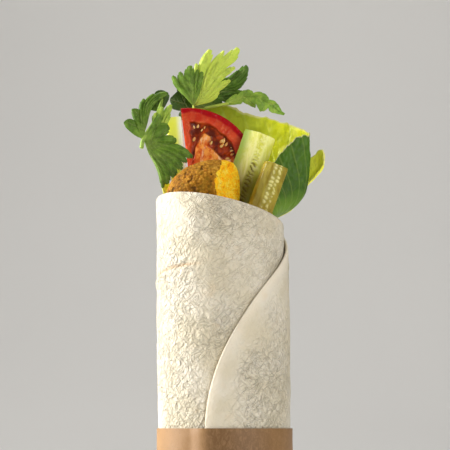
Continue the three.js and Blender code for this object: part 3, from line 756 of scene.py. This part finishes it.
# Cucumber sticks and the pickle spear. Section corners are (x, y) with the front at -y. skin and
# seeds are the shares of the outline, counted from its first corner, that are rind and seedy.
rightStick = {
    "section": ((0, -3.2), (4.6, -1), (7.6, 1.2), (5.4, 3), (0, 3.4), (-4.2, 3), (-6.8, 1.4), (-3.6, -1)),
    "foot": (-11.4, 6.7, 112),
    "direction": (0.327, 0, 0.945),
    "length": 88.3,
    "fullness": 1.06,
    "skin": (0.5, 0.95, 0.19),  # from and to, and how softly it ends
    "seeds": (0.01, 0.15),
    # First row in mm from the ridge, rows, spacing across and along, half size across and along, height
    "seedRows": (2.4, 1, 5, 1.95, 2.2, 0.4, -0.3),
    "fade": 0.9,  # how much the seeds fade out towards the top
}
leftStick = {
    "section": ((-3.3, -3.2), (3.4, -3.3), (3.6, 3.2), (-1, 3.4), (-3, 2.6), (-3.7, 0.4)),
    "foot": (-17, 7.5, 142.2),
    "direction": (-0.085, 0, 0.996),
    "length": 60.8,
    "fullness": 1.0,
    "skin": (0.7, 1.25, 0.11),
    "seeds": (0.3, 0.5),
    "seedRows": (9, 2, 2.4, 2.4, 0.8, 0.5, 0.15),
    "fade": 0,
}
pickleStick = {
    "section": ((-1.4, -4.1), (2.6, -3.4), (5.6, -1), (4.8, 2.6), (0.4, 4), (-3.6, 3.4), (-5.5, 0.6),
                (-4.2, -2.4)),
    "foot": (4.2, -8.6, 123),
    "direction": (0.345, 0, 0.939),
    "length": 59.4,
    "fullness": 1.07,
    "skin": (0.42, 0.8, 0.08),
    "seeds": (0.02, 0.21),
    "seedRows": (2.0, 2, 2.3, 2.0, 0.8, 0.62, 0.3),
    "fade": 0,
}
stickCount = 96  # points round a stick
ringSpacing = 0.42
cornerRound = 0.008  # corners are averaged over this share of the outline, to each side


def makeStick(name, stick):
    # The section's outline with rounded corners, carried along the axis; the last rings draw in to
    # close both ends. Seeds press through the seedy side in short cross rows.
    loop = np.array((*stick["section"], stick["section"][0]), float)
    edges = np.linalg.norm(np.diff(loop, axis=0), axis=1)
    along = np.concatenate([[0], np.cumsum(edges)]) / edges.sum()
    share = np.linspace(0, 1, stickCount + 1)[:-1]
    shifts = share + np.linspace(-cornerRound, cornerRound, 7)[:, None]
    outline = np.stack([np.interp(shifts % 1, along, loop[:, k]).mean(0) for k in (0, 1)], -1) * stick["fullness"]
    length = stick["length"]
    rings = np.linspace(1.2, length - 1.2, int(length / ringSpacing))
    t = np.concatenate([[0, 0.25, 0.6], rings, [length - 0.6, length - 0.25, length]])
    draw = np.minimum(1, np.sqrt(np.clip(np.minimum(t + 0.15, length - t + 0.15) / 0.9, 0, 1)) * 0.12 + 0.88)
    direction = unit(np.array(stick["direction"], float))
    right = unit(np.array([1.0, 0, 0]) - direction * direction[0])
    back = np.cross(direction, right)
    ring = outline[:, None, :] * draw[None, :, None]
    points = (np.array(stick["foot"]) + right * ring[..., :1] + back * ring[..., 1:]
              + direction * t[None, :, None])
    outward = unit(outline)[:, None, :]
    outward = right * outward[..., :1] + back * outward[..., 1:]
    s = share[:, None]
    seedy = between(s, *stick["seeds"], 0.03, 0.04)
    skinFrom, skinTo, softness = stick["skin"]
    rind = between((s - skinFrom) % 1, 0, skinTo - skinFrom, 0.03, softness)
    place = xyz(s * edges.sum(), t[None, :], 0)
    first, rows, pitchAcross, pitchAlong, halfAcross, halfAlong, height = stick["seedRows"]
    row = np.clip(np.round((place[..., 0] - first) / pitchAcross), 0, rows - 1)
    across = place[..., 0] - first - row * pitchAcross + 0.7 * noise(place, 2.2, 95)
    beside = place[..., 1] + row * 0.5 * pitchAlong + 0.3 * across + 0.9 * noise(place, 3, 97)
    beside = ((beside / pitchAlong) % 1 - 0.5) * pitchAlong
    size = 1 + 0.55 * noise(place, 2.6, 96)
    seed = (1 - smooth(0.6, 1.15, np.hypot(across / halfAcross, beside / halfAlong) / size)) * seedy
    seed = seed * (1 - stick["fade"] * smooth(0.8, 0.93, t[None, :] / length + 0.06 * noise(place, 5, 98)))
    relief = 0.12 * layered(place, 5, 3, 93) - 0.1 + height * seed - 0.12 * seedy
    points = points + outward * relief[..., None]
    # A fan of triangles round a middle point closes each end
    index = numbered(points)
    around = np.roll(index, -1, 0)
    hub = np.full(stickCount, index.size)
    faces = [gridFaces(index, True), np.stack([hub, around[:, 0], index[:, 0]], -1),
             np.stack([hub + 1, index[:, -1], around[:, -1]], -1)]
    verts = np.vstack([points.reshape(-1, 3), points[:, 0].mean(0), points[:, -1].mean(0)])
    fields = {}
    for key, value, ends in (("seed", seed, (0, 0)), ("seedy", seedy, (0.5, 0.5)), ("rind", rind, (0, 0)),
                             ("up", t[None, :] / length, (0, 1))):
        fields[key] = np.concatenate([np.broadcast_to(value, index.shape).ravel(), ends])
    return mergeNear(makeMesh(name, verts, faces, fields))


def cucumberFinish(name, flesh, pale, rind, seedFlesh, seedTone, deepTop, deepShare, deepTone):
    f = Finish(name, Specular_IOR_Level=0.25, Subsurface_Weight=0.3, Subsurface_Scale=0.0015,
               Subsurface_Radius=(1.0, 0.9, 0.3), Coat_Weight=0.06, Coat_Roughness=0.15)
    cloud = f.noise(300, 4, 0.65, 0.6, f.place((1, 1, 0.35)))
    fine = f.noise(700, 3, 0.6)
    base = f.blend(cloud.within(0.38, 0.62), flesh, pale)
    base = f.blend(fine.within(0.5, 0.72) * 0.35, base, f.blend(0.4, base, rind))
    middle = f.blend(fine.within(0.4, 0.65), seedFlesh, pale)
    base = f.blend(f.value("seedy") * 0.85, base, middle)
    base = f.blend(f.value("seed"), base, seedTone)
    base = f.blend(f.value("rind") * (0.88 + 0.4 * (cloud - 0.5)), base, rind)
    # Painted shade: darker towards the lower end of the stick, down in the roll
    base = f.blend((1 - f.value("up").within(*deepTop)) * deepShare, base, deepTone)
    bump = f.bump(fine * 0.6 + f.noise(1600, 2, 0.5) * 0.4, 0.12, 0.6)
    return f.wear(Base_Color=base, Normal=bump, Roughness=0.2 + 0.2 * fine)


print("cucumber and pickle")

# Lettuce
leafThickness = 0.62
hiddenShare = 0.25  # the share of a leaf's rows below the point where it opens
mainLeaf = {
    "line": ((-9, 25.8, 212.6), (1.5, 25.4, 211.8), (12, 23.8, 207.4), (22, 20.5, 204.6), (31, 15.5, 201.2),
             (37.5, 9.5, 197.5), (40.2, 4.6, 195), (37, 1.8, 193.4), (31.5, 0.3, 190.2), (26.5, -0.6, 184.5),
             (22.5, -1.2, 178)),
    "angles": (201, 72),
    "wallRadius": 24.6,
    "foot": 100,
    "openFrom": 155.6,
    "spread": 5.4,
    "late": (0, 0, 1),
    "wave": (0.5, 2.5),  # height and count of the slow waves
    "veins": 9,  # mm between main veins
    "counts": (290, 130),
    "lengths": (86, 108),
}
outerLeaf = {
    "line": ((33, 19.6, 183), (41.5, 16.6, 186), (46, 14.4, 189.4), (47.2, 12.8, 185), (45.7, 11.6, 173)),
    "angles": (160, 126),
    "wallRadius": 25.85,
    "foot": 120,
    "openFrom": 155.5,
    "spread": 5,
    "late": (0.3, 168, 182),  # this share of the opening comes only between these heights
    "wave": (0.3, 1.5),
    "veins": 8,
    "counts": (90, 100),
    "lengths": (26, 74),
}
leftLeaf = {
    "line": ((-28.4, 1.5, 183), (-29.2, 6, 186), (-28.6, 11, 184), (-26, 15.4, 180)),
    "angles": (-93, -122),
    "wallRadius": 25.75,
    "foot": 120,
    "openFrom": 165.5,
    "spread": 8.5,
    "late": (0, 0, 1),
    "wave": (0.3, 1.5),
    "veins": 8,
    "counts": (70, 90),
    "lengths": (20, 70),
}


def nearestLine(x, pitch, width):  # hump over each multiple of pitch
    return hump(((x / pitch + 0.5) % 1 - 0.5) * pitch, width)


def makeLettuce(name, leaf, seed):
    # Rows rise from the wall of the mouth to the leaf's top line. Above openFrom the leaf opens
    # from the wall to that line as 1 - exp(-height / spread), with a ripple and a ruffled edge.
    long, tall = leaf["lengths"]
    u = seams(leaf["counts"][0], long, 0.5)
    v = seams(leaf["counts"][1], tall, 0.5)
    crest = curveAt(leaf["line"], u)[:, None, :]
    uu, vv = u[:, None], v[None, :]
    low = mix(leaf["foot"], leaf["openFrom"], vv / hiddenShare)
    high = mix(leaf["openFrom"], crest[..., 2], (vv - hiddenShare) / (1 - hiddenShare))
    z = np.where(vv < hiddenShare, low, high)
    wall = onRoll(mix(*leaf["angles"], uu), leaf["wallRadius"], z)
    share, lateFrom, lateTo = leaf["late"]
    opened = 1 - np.exp(-np.maximum(0, z - leaf["openFrom"]) / leaf["spread"])
    opened = mix(opened, smooth(lateFrom, lateTo, z), share)
    height, waves = leaf["wave"]
    ripple = height * opened * np.sin(waves * 2 * math.pi * uu + 0.09 * z)
    frill = smooth(0.86, 1, vv) * opened
    spot = xyz(uu * long, z, 0)
    x = mix(wall[..., 0], crest[..., 0], opened)
    y = mix(wall[..., 1], crest[..., 1], opened) + ripple + frill * 0.9 * noise(spot, 5, seed)
    z = z + frill * (0.8 * noise(spot, 3.4, seed + 1) + 0.4 * noise(spot, 1.3, seed + 2))
    # Veins fan out from the foot of the leaf, and side veins branch from them at a slant
    pitch = leaf["veins"]
    fan = (uu - 0.5) * long / (0.35 + 0.65 * vv) + 1.6 * noise(spot, 11, seed + 4)
    slant = spot[..., 1] + np.abs((fan / pitch) % 1 - 0.5) * pitch * 0.9 + 3.5 * noise(spot, 9, seed + 5)
    side = nearestLine(slant, 6.2, 0.35) * smooth(-0.3, 0.4, noise(spot, 6, seed + 6))
    vein = np.clip(nearestLine(fan, pitch, 0.5) + 0.5 * side, 0, 1)
    swell = 0.6 * (0.5 - cells(spot, 3.0, seed + 7)) + 0.5 * layered(spot, 7, 3, seed + 9)
    shape = (swell - 0.2 * vein) * opened
    return plate(name, xyz(x, y, z), u, v, leaf["lengths"], leafThickness, {"vein": vein, "u": uu, "v": vv},
                 shape, -shape)


def lettuceFinish(name, inside, insideDeep, outside, outsideDeep, lowTone, greener):
    f = Finish(name, Specular_IOR_Level=0.12, Subsurface_Weight=0.25, Subsurface_Scale=0.0015,
               Subsurface_Radius=(0.8, 1.0, 0.2), Coat_Weight=0.03, Coat_Roughness=0.3)
    cloud = f.noise(150, 4, 0.62, 0.6)
    streaks = f.noise(420, 3, 0.6, 0.8, f.place((1, 1, 0.3), 25))
    fine = f.noise(900, 3, 0.6)
    inner = f.blend(cloud.within(0.35, 0.65), inside, insideDeep)
    inner = f.blend((1 - (f.value("u") + 0.12 * (cloud - 0.5)).within(0.16, 0.4)) * 0.85, inner, greener)
    outer = f.blend(cloud.within(0.35, 0.65), outside, outsideDeep)
    outer = f.blend((1 - f.value("v").within(0.3, 0.55)) * 0.8, outer, lowTone)
    base = f.blend(f.value("side").within(0.4, 0.6), inner, outer)
    base = f.blend(f.value("vein") * 0.16, base, (196, 206, 110))
    base = f.blend(streaks.within(0.48, 0.66) * 0.4, base, f.blend(0.5, base, (86, 110, 20)))
    base = f.blend(fine.within(0.52, 0.72) * 0.25, base, f.blend(0.4, base, (84, 112, 24)))
    base = f.blend(f.value("v").within(0.982, 0.994) * 0.6, base, (216, 208, 150))
    bump = f.bump(f.grains(500) * 0.6 + fine * 0.4, 0.12, 0.5)
    return f.wear(Base_Color=base, Normal=bump, Roughness=0.34 + 0.2 * fine)


print("lettuce")

# Parsley
parsley = {
    "thickness": 0.5,
    "hookReach": 25,  # a hooked leaflet is turned by its full angle at this distance
    "twigAngle": 40,
    "fanLengths": (40, 28),
    "ribLengths": (9, 32),
}


# Vein strength at points (x, z) of a flat leaf: each line from a to b is a vein, and thin twigs
# leave it every `spacing` mm at a slant. Strength is exp(-(distance / width)^2) to the nearest.
def veinNet(x, z, lines, spacing=2.3, reach=3.4, width=0.3):
    slant = parsley["twigAngle"] * rad
    parts = []
    for a, b in lines:
        a, b = np.array(a, float), np.array(b, float)
        long = np.linalg.norm(b - a)
        d = (b - a) / long
        parts.append((a, b, width, 1.0))
        for k in np.arange(spacing * 0.8, long, spacing):
            for way in (-1, 1):
                twig = d * math.cos(slant) + np.array([-d[1], d[0]]) * way * math.sin(slant)
                start = a + d * (k + 0.25 * spacing * way)
                parts.append((start, start + twig * reach * (1 - 0.5 * k / long), width * 0.6, 0.55))
    net = np.zeros(x.shape)
    for a, b, wide, level in parts:
        d = b - a
        t = np.clip(((x - a[0]) * d[0] + (z - a[1]) * d[1]) / (d @ d), 0, 1)
        gap = np.hypot(x - a[0] - d[0] * t, z - a[1] - d[1] * t)
        net = np.maximum(net, level * hump(gap, wide * (1.15 - 0.6 * t)))
    return net


def leafPlate(name, centre, u, v, lengths, vein, shade):
    fields = {"vein": vein[::-1], "shade": shade, "v": v[None, :]}
    return plate(name, centre[::-1], u, v, lengths, parsley["thickness"], fields)


def fanLeaflet(name, base, outline, slopeX=0.0, slopeZ=0.0, cup=0.0, curl=0.0, shade=0.5, seed=0, hook=0):
    # Polar grid from the leaflet's foot. The outline runs through each (angle, length) of the list
    # with rounded lobes, sharp notches and a small cut in each flank. Depth is a sum of slopes, a
    # cup across, a curl outwards and slow noise. Hook turns the far end, as the distance squared.
    p = parsley
    spans = len(outline) - 1
    u = seams(15 * spans, p["fanLengths"][0], 0.3)
    v = seams(34, p["fanLengths"][1], 0.3)
    degs, lengths = np.array(outline, float).T
    k = np.minimum(np.floor(u * spans).astype(int), spans - 1)
    t = u * spans - k
    angle = mix(degs[k], degs[k + 1], t)[:, None] * rad
    up = np.where(lengths[k + 1] > lengths[k], t, 1 - t)
    low, high = np.minimum(lengths[k], lengths[k + 1]), np.maximum(lengths[k], lengths[k + 1])
    reach = mix(low, high, (1 - (1 - up) ** 2.8) ** 0.85)
    reach = reach - hump(up - 0.52, 0.09) * 0.05 * high * (high - low > 2.5)
    r = mix(0.03, 1, v)[None, :] * reach[:, None]
    turned = angle + 0.06 * np.sin(r / 4.5 + seed) * smooth(3, 9, r) + hook * rad * (r / p["hookReach"]) ** 2
    x, z = r * np.sin(turned), r * np.cos(turned)
    across = r * np.sin(angle - (degs[0] + degs[-1]) / 2 * rad)
    # Veins: one from the foot to the longest lobe, and one from along it to every other lobe
    peaks = (lengths[1:-1] > lengths[:-2]) & (lengths[1:-1] >= lengths[2:])
    tips, aims = lengths[1:-1][peaks], degs[1:-1][peaks]
    aims = (aims + hook * (tips / p["hookReach"]) ** 2) * rad
    ends = 0.93 * tips[:, None] * np.stack([np.sin(aims), np.cos(aims)], -1)
    main = int(np.argmax(tips))
    lines = [((0, 0), ends[main])]
    for i, end in enumerate(ends):
        if i != main:
            share = 0.5 * min(1, np.hypot(*end) / np.hypot(*ends[main])) * (0.75 if abs(i - main) > 1 else 1)
            lines.append((ends[main] * share, end))
    vein = veinNet(x, z, lines)
    spot = xyz(x, z, 7 * seed)
    wave = smooth(0.15, 0.8, v) * (0.9 * noise(spot, 8, 100 + seed) + 0.35 * noise(spot, 3.4, 120 + seed))
    pleat = (0.5 - up)[:, None] * smooth(0.1, 0.7, v)
    y = slopeX * x + slopeZ * z + cup * across ** 2 + curl * r ** 2 + wave + pleat + 0.09 * vein
    return leafPlate(name, xyz(x, y, z) + base, u, v, p["fanLengths"], vein, shade)


def ribLeaflet(name, rib, widths, teeth, cup=0.0, shade=0.5, seed=0, sweep=0.5):
    # Cross strips along a curved midrib. The half width is the listed one times a row of rounded
    # lobes, which lean towards the tip by `sweep` times their distance from the rib.
    u = seams(56, parsley["ribLengths"][0], 0.3)
    v = seams(145, parsley["ribLengths"][1], 0.3)
    points = curveAt(rib, v)
    ahead = unit(np.gradient(points, axis=0))
    along = np.concatenate([[0], np.cumsum(np.linalg.norm(np.diff(points, axis=0), axis=1))])
    across = unit(xyz(ahead[:, 2], 0, -ahead[:, 0]))
    left, right = np.array(widths, float).T
    s = np.linspace(0, 1, len(widths))
    side = 2 * u[:, None] - 1
    phase = teeth * v + np.where(side < 0, 0.2, 0)
    lobe = (1 - np.abs(2 * (phase % 1) - 1) ** 2.6) ** 0.8
    small = np.abs(np.sin(3 * math.pi * (teeth * v + 0.1)))
    width = np.where(side < 0, np.interp(v, s, left), np.interp(v, s, right))
    reach = side * width * (0.55 + 0.52 * lobe + 0.08 * small * lobe)
    lean = sweep * np.abs(reach) * between(v, 0, 1, 0.12, 0.28)
    flat = along + lean
    lines = [((0, 0), (0, along[-1] * 0.98))]
    for k in range(teeth):
        for way, shift, wides in ((-1, 0.3, left), (1, 0.5, right)):
            root = along[-1] * (k + shift - 0.35) / teeth
            wide = float(np.interp((k + shift) / teeth, s, wides))
            if root > 0.5:
                lines.append(((0, root), (way * wide, root + wide * (sweep + 0.6))))
    vein = veinNet(reach, flat, lines, 2.0, 2.2, 0.26)
    spot = xyz(reach, flat, 5 * seed)
    y = cup * reach ** 2 + smooth(0, 0.5, np.abs(side)) * 0.7 * noise(spot, 6, 130 + seed) + 0.09 * vein
    centre = points + across * reach[..., None] + ahead * lean[..., None] + xyz(0, y, 0)
    return leafPlate(name, centre, u, v, parsley["ribLengths"], vein, shade)


def stalk(name, points, radius, shade=0.8):
    # A ridged round stem along a smooth curve, slimmer towards its end and closed at both ends
    t = np.linspace(0, 1, 60)
    line = curveAt(points, t)
    ahead = unit(np.gradient(line, axis=0))
    right = unit(np.cross(ahead, [0.0, 1.0, 0.001]))
    up = np.cross(right, ahead)
    a = np.linspace(0, 2 * math.pi, 17)[:-1][:, None]
    size = radius * (1 + 0.1 * np.cos(5 * a)) * (1 - 0.2 * t)
    size[:, 0] *= 0.75
    size[:, -1] *= 0.5
    ring = line + right * (size * np.cos(a))[..., None] + up * (size * np.sin(a))[..., None]
    index = numbered(ring)
    fields = {key: np.full(index.size, value) for key, value in (("vein", 0.6), ("shade", shade), ("v", 0.3))}
    return mergeNear(makeMesh(name, ring, tubeFaces(index), fields))


def makeTopParsley():
    parts = [
        stalk("top_stalk", ((-9, 19.3, 143), (-10, 19.4, 175), (-11, 19.4, 200), (-12.6, 18.8, 208),
                            (-13, 17, 212.4)), 0.95),
        stalk("arch_stalk", ((-12, 19, 208.8), (-5, 18.8, 209.8), (3.2, 15.9, 211)), 0.8),
        fanLeaflet("bright_leaflet", (-13, 17, 209.8),
                   ((2, 8), (6, 19.6), (9.5, 18), (13.5, 27), (23.2, 20.4), (26, 28.8), (29, 25.6), (35.5, 33.5),
                    (41.4, 21.6), (45, 26.2), (51, 14.4), (57, 20.8), (62, 13.5), (74, 7)), 0.12, -0.2, 0.012,
                   -0.003, 0.95, 1),
        fanLeaflet("middle_leaflet", (-13.2, 15.4, 209.6),
                   ((-42, 6), (-33, 17), (-28, 14), (-20, 16.8), (-15, 14), (-4, 18.4), (5, 14.6), (9, 16.8),
                    (12, 14.6), (17, 16.2), (25, 9)), 0, -0.2, 0.02, 0, 0.5, 2),
        fanLeaflet("back_leaflet", (-12.2, 17.8, 210),
                   ((40, 12), (44, 20), (47, 26), (53, 31), (57, 29), (61, 25), (64, 20), (68, 23), (72, 17),
                    (77, 8)), 0.12, 0.05, 0.015, -0.002, 0.35, 3),
        ribLeaflet("round_leaflet", ((-12.3, 18, 206.2), (-15.4, 20.2, 208.6), (-18.2, 21.4, 213.5),
                                     (-20.2, 21.6, 219.8)),
                   ((1.4, 1.4), (5.4, 4.6), (6, 5.4), (4.8, 5), (0.7, 0.7)), 2, 0.04, 0.08, 4, 0.3),
        ribLeaflet("low_leaflet", ((-12.6, 17.8, 210), (-6, 18.8, 212.4), (-1, 19.2, 214), (5, 18.8, 215.2)),
                   ((1.2, 1.2), (2, 3), (2.6, 3.4), (2, 2.6), (0.6, 0.6)), 3, 0.03, 0.2, 5),
        ribLeaflet("arching_leaflet", ((2, 16, 210.8), (8.4, 15.4, 213.2), (15.2, 13.8, 213.6),
                                       (22, 11.2, 210.2), (28.8, 8, 204.2)),
                   ((1, 1), (3.2, 2.6), (3, 4.6), (2.6, 4.8), (2, 3), (0.7, 0.7)), 4, 0.05, 0.62, 6),
    ]
    return joinPieces("parsley_top_sprig", parts)


def makeLeftParsley():
    parts = [
        stalk("left_stalk", ((-36.6, -3.6, 187), (-35.4, -2.6, 192), (-31.4, 0.6, 199), (-28.9, 5, 206),
                             (-27.4, 8.6, 212)), 0.95, 0.6),
        fanLeaflet("curled_leaflet", (-35.6, -2.8, 191.2),
                   ((-66, 3.5), (-51, 12.1), (-31, 9.8), (-26.6, 15.4), (-15.5, 14.4), (-12, 19.6), (-9, 18.2),
                    (-7, 22.6), (-5.4, 21.4), (-3.2, 25.6), (0.4, 24.8), (3.4, 23.4), (6, 18)), 0.15, 0.1,
                   0.012, 0.006, 0.42, 7, 24),
        fanLeaflet("hanging_leaflet", (-35.6, -2.7, 191.4),
                   ((28, 5), (36, 13.5), (48, 10.5), (66, 13), (82, 9.5), (96, 15), (101, 13.5), (108, 23.8),
                    (113, 20), (117, 22.4), (121, 19.4), (127, 22.4), (132, 19.6), (139, 23), (144, 20.5),
                    (149.5, 23.6), (153, 22.5), (156.5, 24.5), (160, 12)), 0.16, -0.02, -0.006, -0.002, 0.45, 8),
        fanLeaflet("pale_leaflet", (-29.5, -0.4, 191.8),
                   ((-14, 7), (0, 12), (9, 15), (15, 12.5), (21, 17), (28, 13), (38, 8)), -0.02, -0.04, 0.01,
                   0, 0.72, 9),
        fanLeaflet("inner_leaflet", (-28, 6.6, 205.4),
                   ((-78, 6), (-48, 8.5), (-20, 9), (0, 10.5), (14, 10), (32, 6.5)), -0.1, 0.15, 0.03, 0,
                   0.12, 10),
    ]
    return joinPieces("parsley_left_sprig", parts)


def parsleyFinish():
    f = Finish("parsley", Specular_IOR_Level=0.15, Subsurface_Weight=0.2, Subsurface_Scale=0.001,
               Subsurface_Radius=(0.7, 1.0, 0.2), Coat_Weight=0.03, Coat_Roughness=0.3)
    vein = f.value("vein")
    cloud = f.noise(260, 4, 0.65, 0.8)
    fine = f.noise(1200, 2, 0.6)
    base = f.ramp(f.value("shade") + 0.7 * (cloud - 0.5), (0.0, (36, 54, 12)), (0.35, (74, 104, 32)),
                  (0.6, (116, 150, 52)), (0.95, (196, 212, 86)))
    base = f.blend(vein * 0.5, base, f.blend(0.3, base, (216, 224, 140)))
    base = f.blend((1 - f.value("v").within(0, 0.6)) * 0.4, base, f.blend(0.5, base, (170, 190, 80)))
    base = f.blend(fine.within(0.55, 0.75) * 0.2, base, (70, 96, 30))
    furrows = f.bump(vein * -1 + 0.5 * cloud, 0.45, 0.8)
    bump = f.bump(f.grains(900) * 0.6 + fine * 0.4, 0.15, 0.7, furrows)
    return f.wear(Base_Color=base, Normal=bump, Roughness=0.34 + 0.2 * fine)


print("parsley")

# Filling under the pieces: chopped lettuce and sauce filling the roll
core = {"radius": 23.2, "foot": 5.1, "top": 140.6}


def makeCore():
    # Rings out over the lumpy top, down the side and in again under the foot
    radius, top = core["radius"], core["top"]
    angle = np.linspace(0, 360, 181)[:-1][:, None]
    r = np.linspace(0.01, 1, 60)[None, :] * radius
    spot = onRoll(angle, r, 0.0 * r)
    lumps = 1.3 * (0.5 - cells(spot, 5.5, 141)) + 0.8 * layered(spot, 4, 3, 143) - 0.9
    upper = onRoll(angle, r, top + lumps - 1.5 * smooth(0.9, 1, r / radius))
    side = onRoll(angle, radius - 0.4, np.linspace(top - 3, core["foot"] + 0.1, 20)[None, :])
    lower = onRoll(angle, r[:, ::-1], np.full(r.shape, core["foot"]))
    grid = np.concatenate([upper, side, lower], 1)
    return mergeNear(makeMesh("filling_mass", grid, tubeFaces(numbered(grid))))


def fillingFinish():
    f = Finish("mixed_filling", Roughness=0.45, Subsurface_Weight=0.2, Subsurface_Scale=0.002)
    shreds = f.grains(260)
    cloud = f.noise(180, 3, 0.6)
    base = f.ramp(cloud * 0.6 + shreds * 0.6, (0.2, (72, 84, 26)), (0.45, (122, 136, 52)),
                  (0.65, (176, 176, 92)), (0.85, (222, 208, 160)))
    return f.wear(Base_Color=base, Normal=f.bump(shreds + cloud, 0.6, 0.8))


dress(makeTortilla(), flatbreadFinish(), "flatbread", "tortilla")
dress(makeSleeve(), kraftFinish(), "kraft_paper", "paper_sleeve")
dress(makeFalafel(), falafelFinish(), "falafel", "falafel")
dress(makeTomato(), tomatoFinish(), "tomato", "tomato_slice")
dress(makeSeeds(), seedFinish(), "tomato")
greenStick = cucumberFinish("cucumber", (228, 228, 106), (246, 244, 160), (144, 176, 58), (214, 212, 44),
                            (98, 76, 22), (0.7, 0.92), 0.75, (128, 108, 40))
paleStick = cucumberFinish("cucumber_pale", (254, 252, 222), (255, 254, 238), (250, 252, 70), (236, 230, 168),
                           (204, 192, 124), (0.1, 0.3), 0.4, (160, 150, 90))
pickled = cucumberFinish("pickle", (136, 118, 26), (166, 150, 50), (112, 106, 24), (160, 150, 54),
                         (214, 206, 132), (0.6, 0.8), 0.3, (150, 112, 22))
dress(makeStick("cucumber_right_stick", rightStick), greenStick, "cucumber", "cucumber_right")
dress(makeStick("cucumber_left_stick", leftStick), paleStick, "cucumber", "cucumber_left")
dress(makeStick("pickle_stick", pickleStick), pickled, "pickle", "pickle_spear")
leafGreen = lettuceFinish("lettuce", (224, 224, 30), (200, 206, 30), (74, 110, 28), (58, 90, 24),
                          (116, 148, 58), (152, 170, 46))
# Partly painted light: the leaves' own pale yellow, raised further in a brighter copy of the lettuce to stand in
# for light shining through them from behind
leafYellow = lettuceFinish("lettuce_yellow_painted_light", (255, 254, 84), (252, 250, 70), (254, 252, 84), (248, 248, 70),
                           (226, 230, 100), (240, 242, 96))
dress(makeLettuce("lettuce_main_leaf", mainLeaf, 201), leafGreen, "lettuce", "lettuce_main")
dress(makeLettuce("lettuce_outer_leaf", outerLeaf, 221), leafYellow, "lettuce", "lettuce_outer")
dress(makeLettuce("lettuce_left_leaf", leftLeaf, 241), leafYellow, "lettuce", "lettuce_left")
green = parsleyFinish()
dress(makeTopParsley(), green, "parsley", "parsley_top")
dress(makeLeftParsley(), green, "parsley", "parsley_left")
dress(makeCore(), fillingFinish(), "mixed_filling", "filling_core")
print("pieces dressed")

# Studio: pale floor curving up into a pale backdrop, key from the left, soft fill from the right
studio = {
    "cameraPlace": (1.5, -900, 60),
    "cameraPitch": 5.85,
    "lens": 158.77,
    "sensor": 36,
    "floorTones": ((222, 220, 216), (218, 216, 212)),
    "floorReach": (9000, -12000),
    "backdrop": (1500, 1200, 5000),  # where it starts to curve up, the curve's radius, and its height
    "worldStrength": 0.22,
    # Each light's place, power, size and the point that it faces
    "lights": {
        "key": ((-1250, 150, 560), 36, 0.5, (0, 0, 120)),
        "fill": ((-950, -980, 760), 3.5, 1.3, (0, 0, 120)),
        "right": ((1000, -1060, 480), 12, 1.0, (0, 0, 120)),
        "top": ((-150, 250, 1300), 4, 0.9, (0, 0, 120)),
        "back": ((0, 1300, 2300), 15, 2.0, (0, 2700, 500)),
    },
}


def addLight(name, place, power, size, aim):
    data = bpy.data.lights.new(name, "AREA")
    data.energy = power
    data.shape = "DISK"
    data.size = size
    lamp = bpy.data.objects.new(name, data)
    lamp.location = Vector(place) * mm
    lamp.rotation_euler = (Vector(aim) * mm - lamp.location).to_track_quat("-Z", "Y").to_euler()
    bpy.context.scene.collection.objects.link(lamp)


def makeFloor():
    # A level floor, a quarter circle up and a straight wall, all as wide as floorReach
    wide, near = studio["floorReach"]
    start, radius, height = studio["backdrop"]
    turn = np.linspace(0, math.pi / 2, 16)
    y = np.concatenate([[near, -1000, 500], start + radius * np.sin(turn), [start + radius]])
    z = np.concatenate([[0, 0, 0], radius * (1 - np.cos(turn)), [height]])
    grid = xyz(np.linspace(-wide, wide, 3)[:, None], y, z)
    floor = makeMesh("floor", grid, [gridFaces(numbered(grid))])
    f = Finish("studio_floor", Roughness=0.9)
    floor.data.materials.append(f.wear(Base_Color=f.blend(f.noise(3, 2, 0.5), *studio["floorTones"])))


def makeStudio():
    s = studio
    makeFloor()
    for name, values in s["lights"].items():
        addLight(name, *values)
    world = bpy.data.worlds.new("studio")
    world.use_nodes = True
    sky = world.node_tree.nodes["Background"]
    sky.inputs["Color"].default_value = (1, 0.98, 0.95, 1)
    sky.inputs["Strength"].default_value = s["worldStrength"]
    bpy.context.scene.world = world
    bpy.context.scene.view_settings.view_transform = "Standard"
    data = bpy.data.cameras.new("camera")
    data.lens = s["lens"]
    data.sensor_width = s["sensor"]
    data.clip_end = 50
    camera = bpy.data.objects.new("camera", data)
    camera.location = Vector(s["cameraPlace"]) * mm
    camera.rotation_euler = ((90 + s["cameraPitch"]) * rad, 0, 0)
    bpy.context.scene.collection.objects.link(camera)
    bpy.context.scene.camera = camera


makeStudio()
print("studio ready")
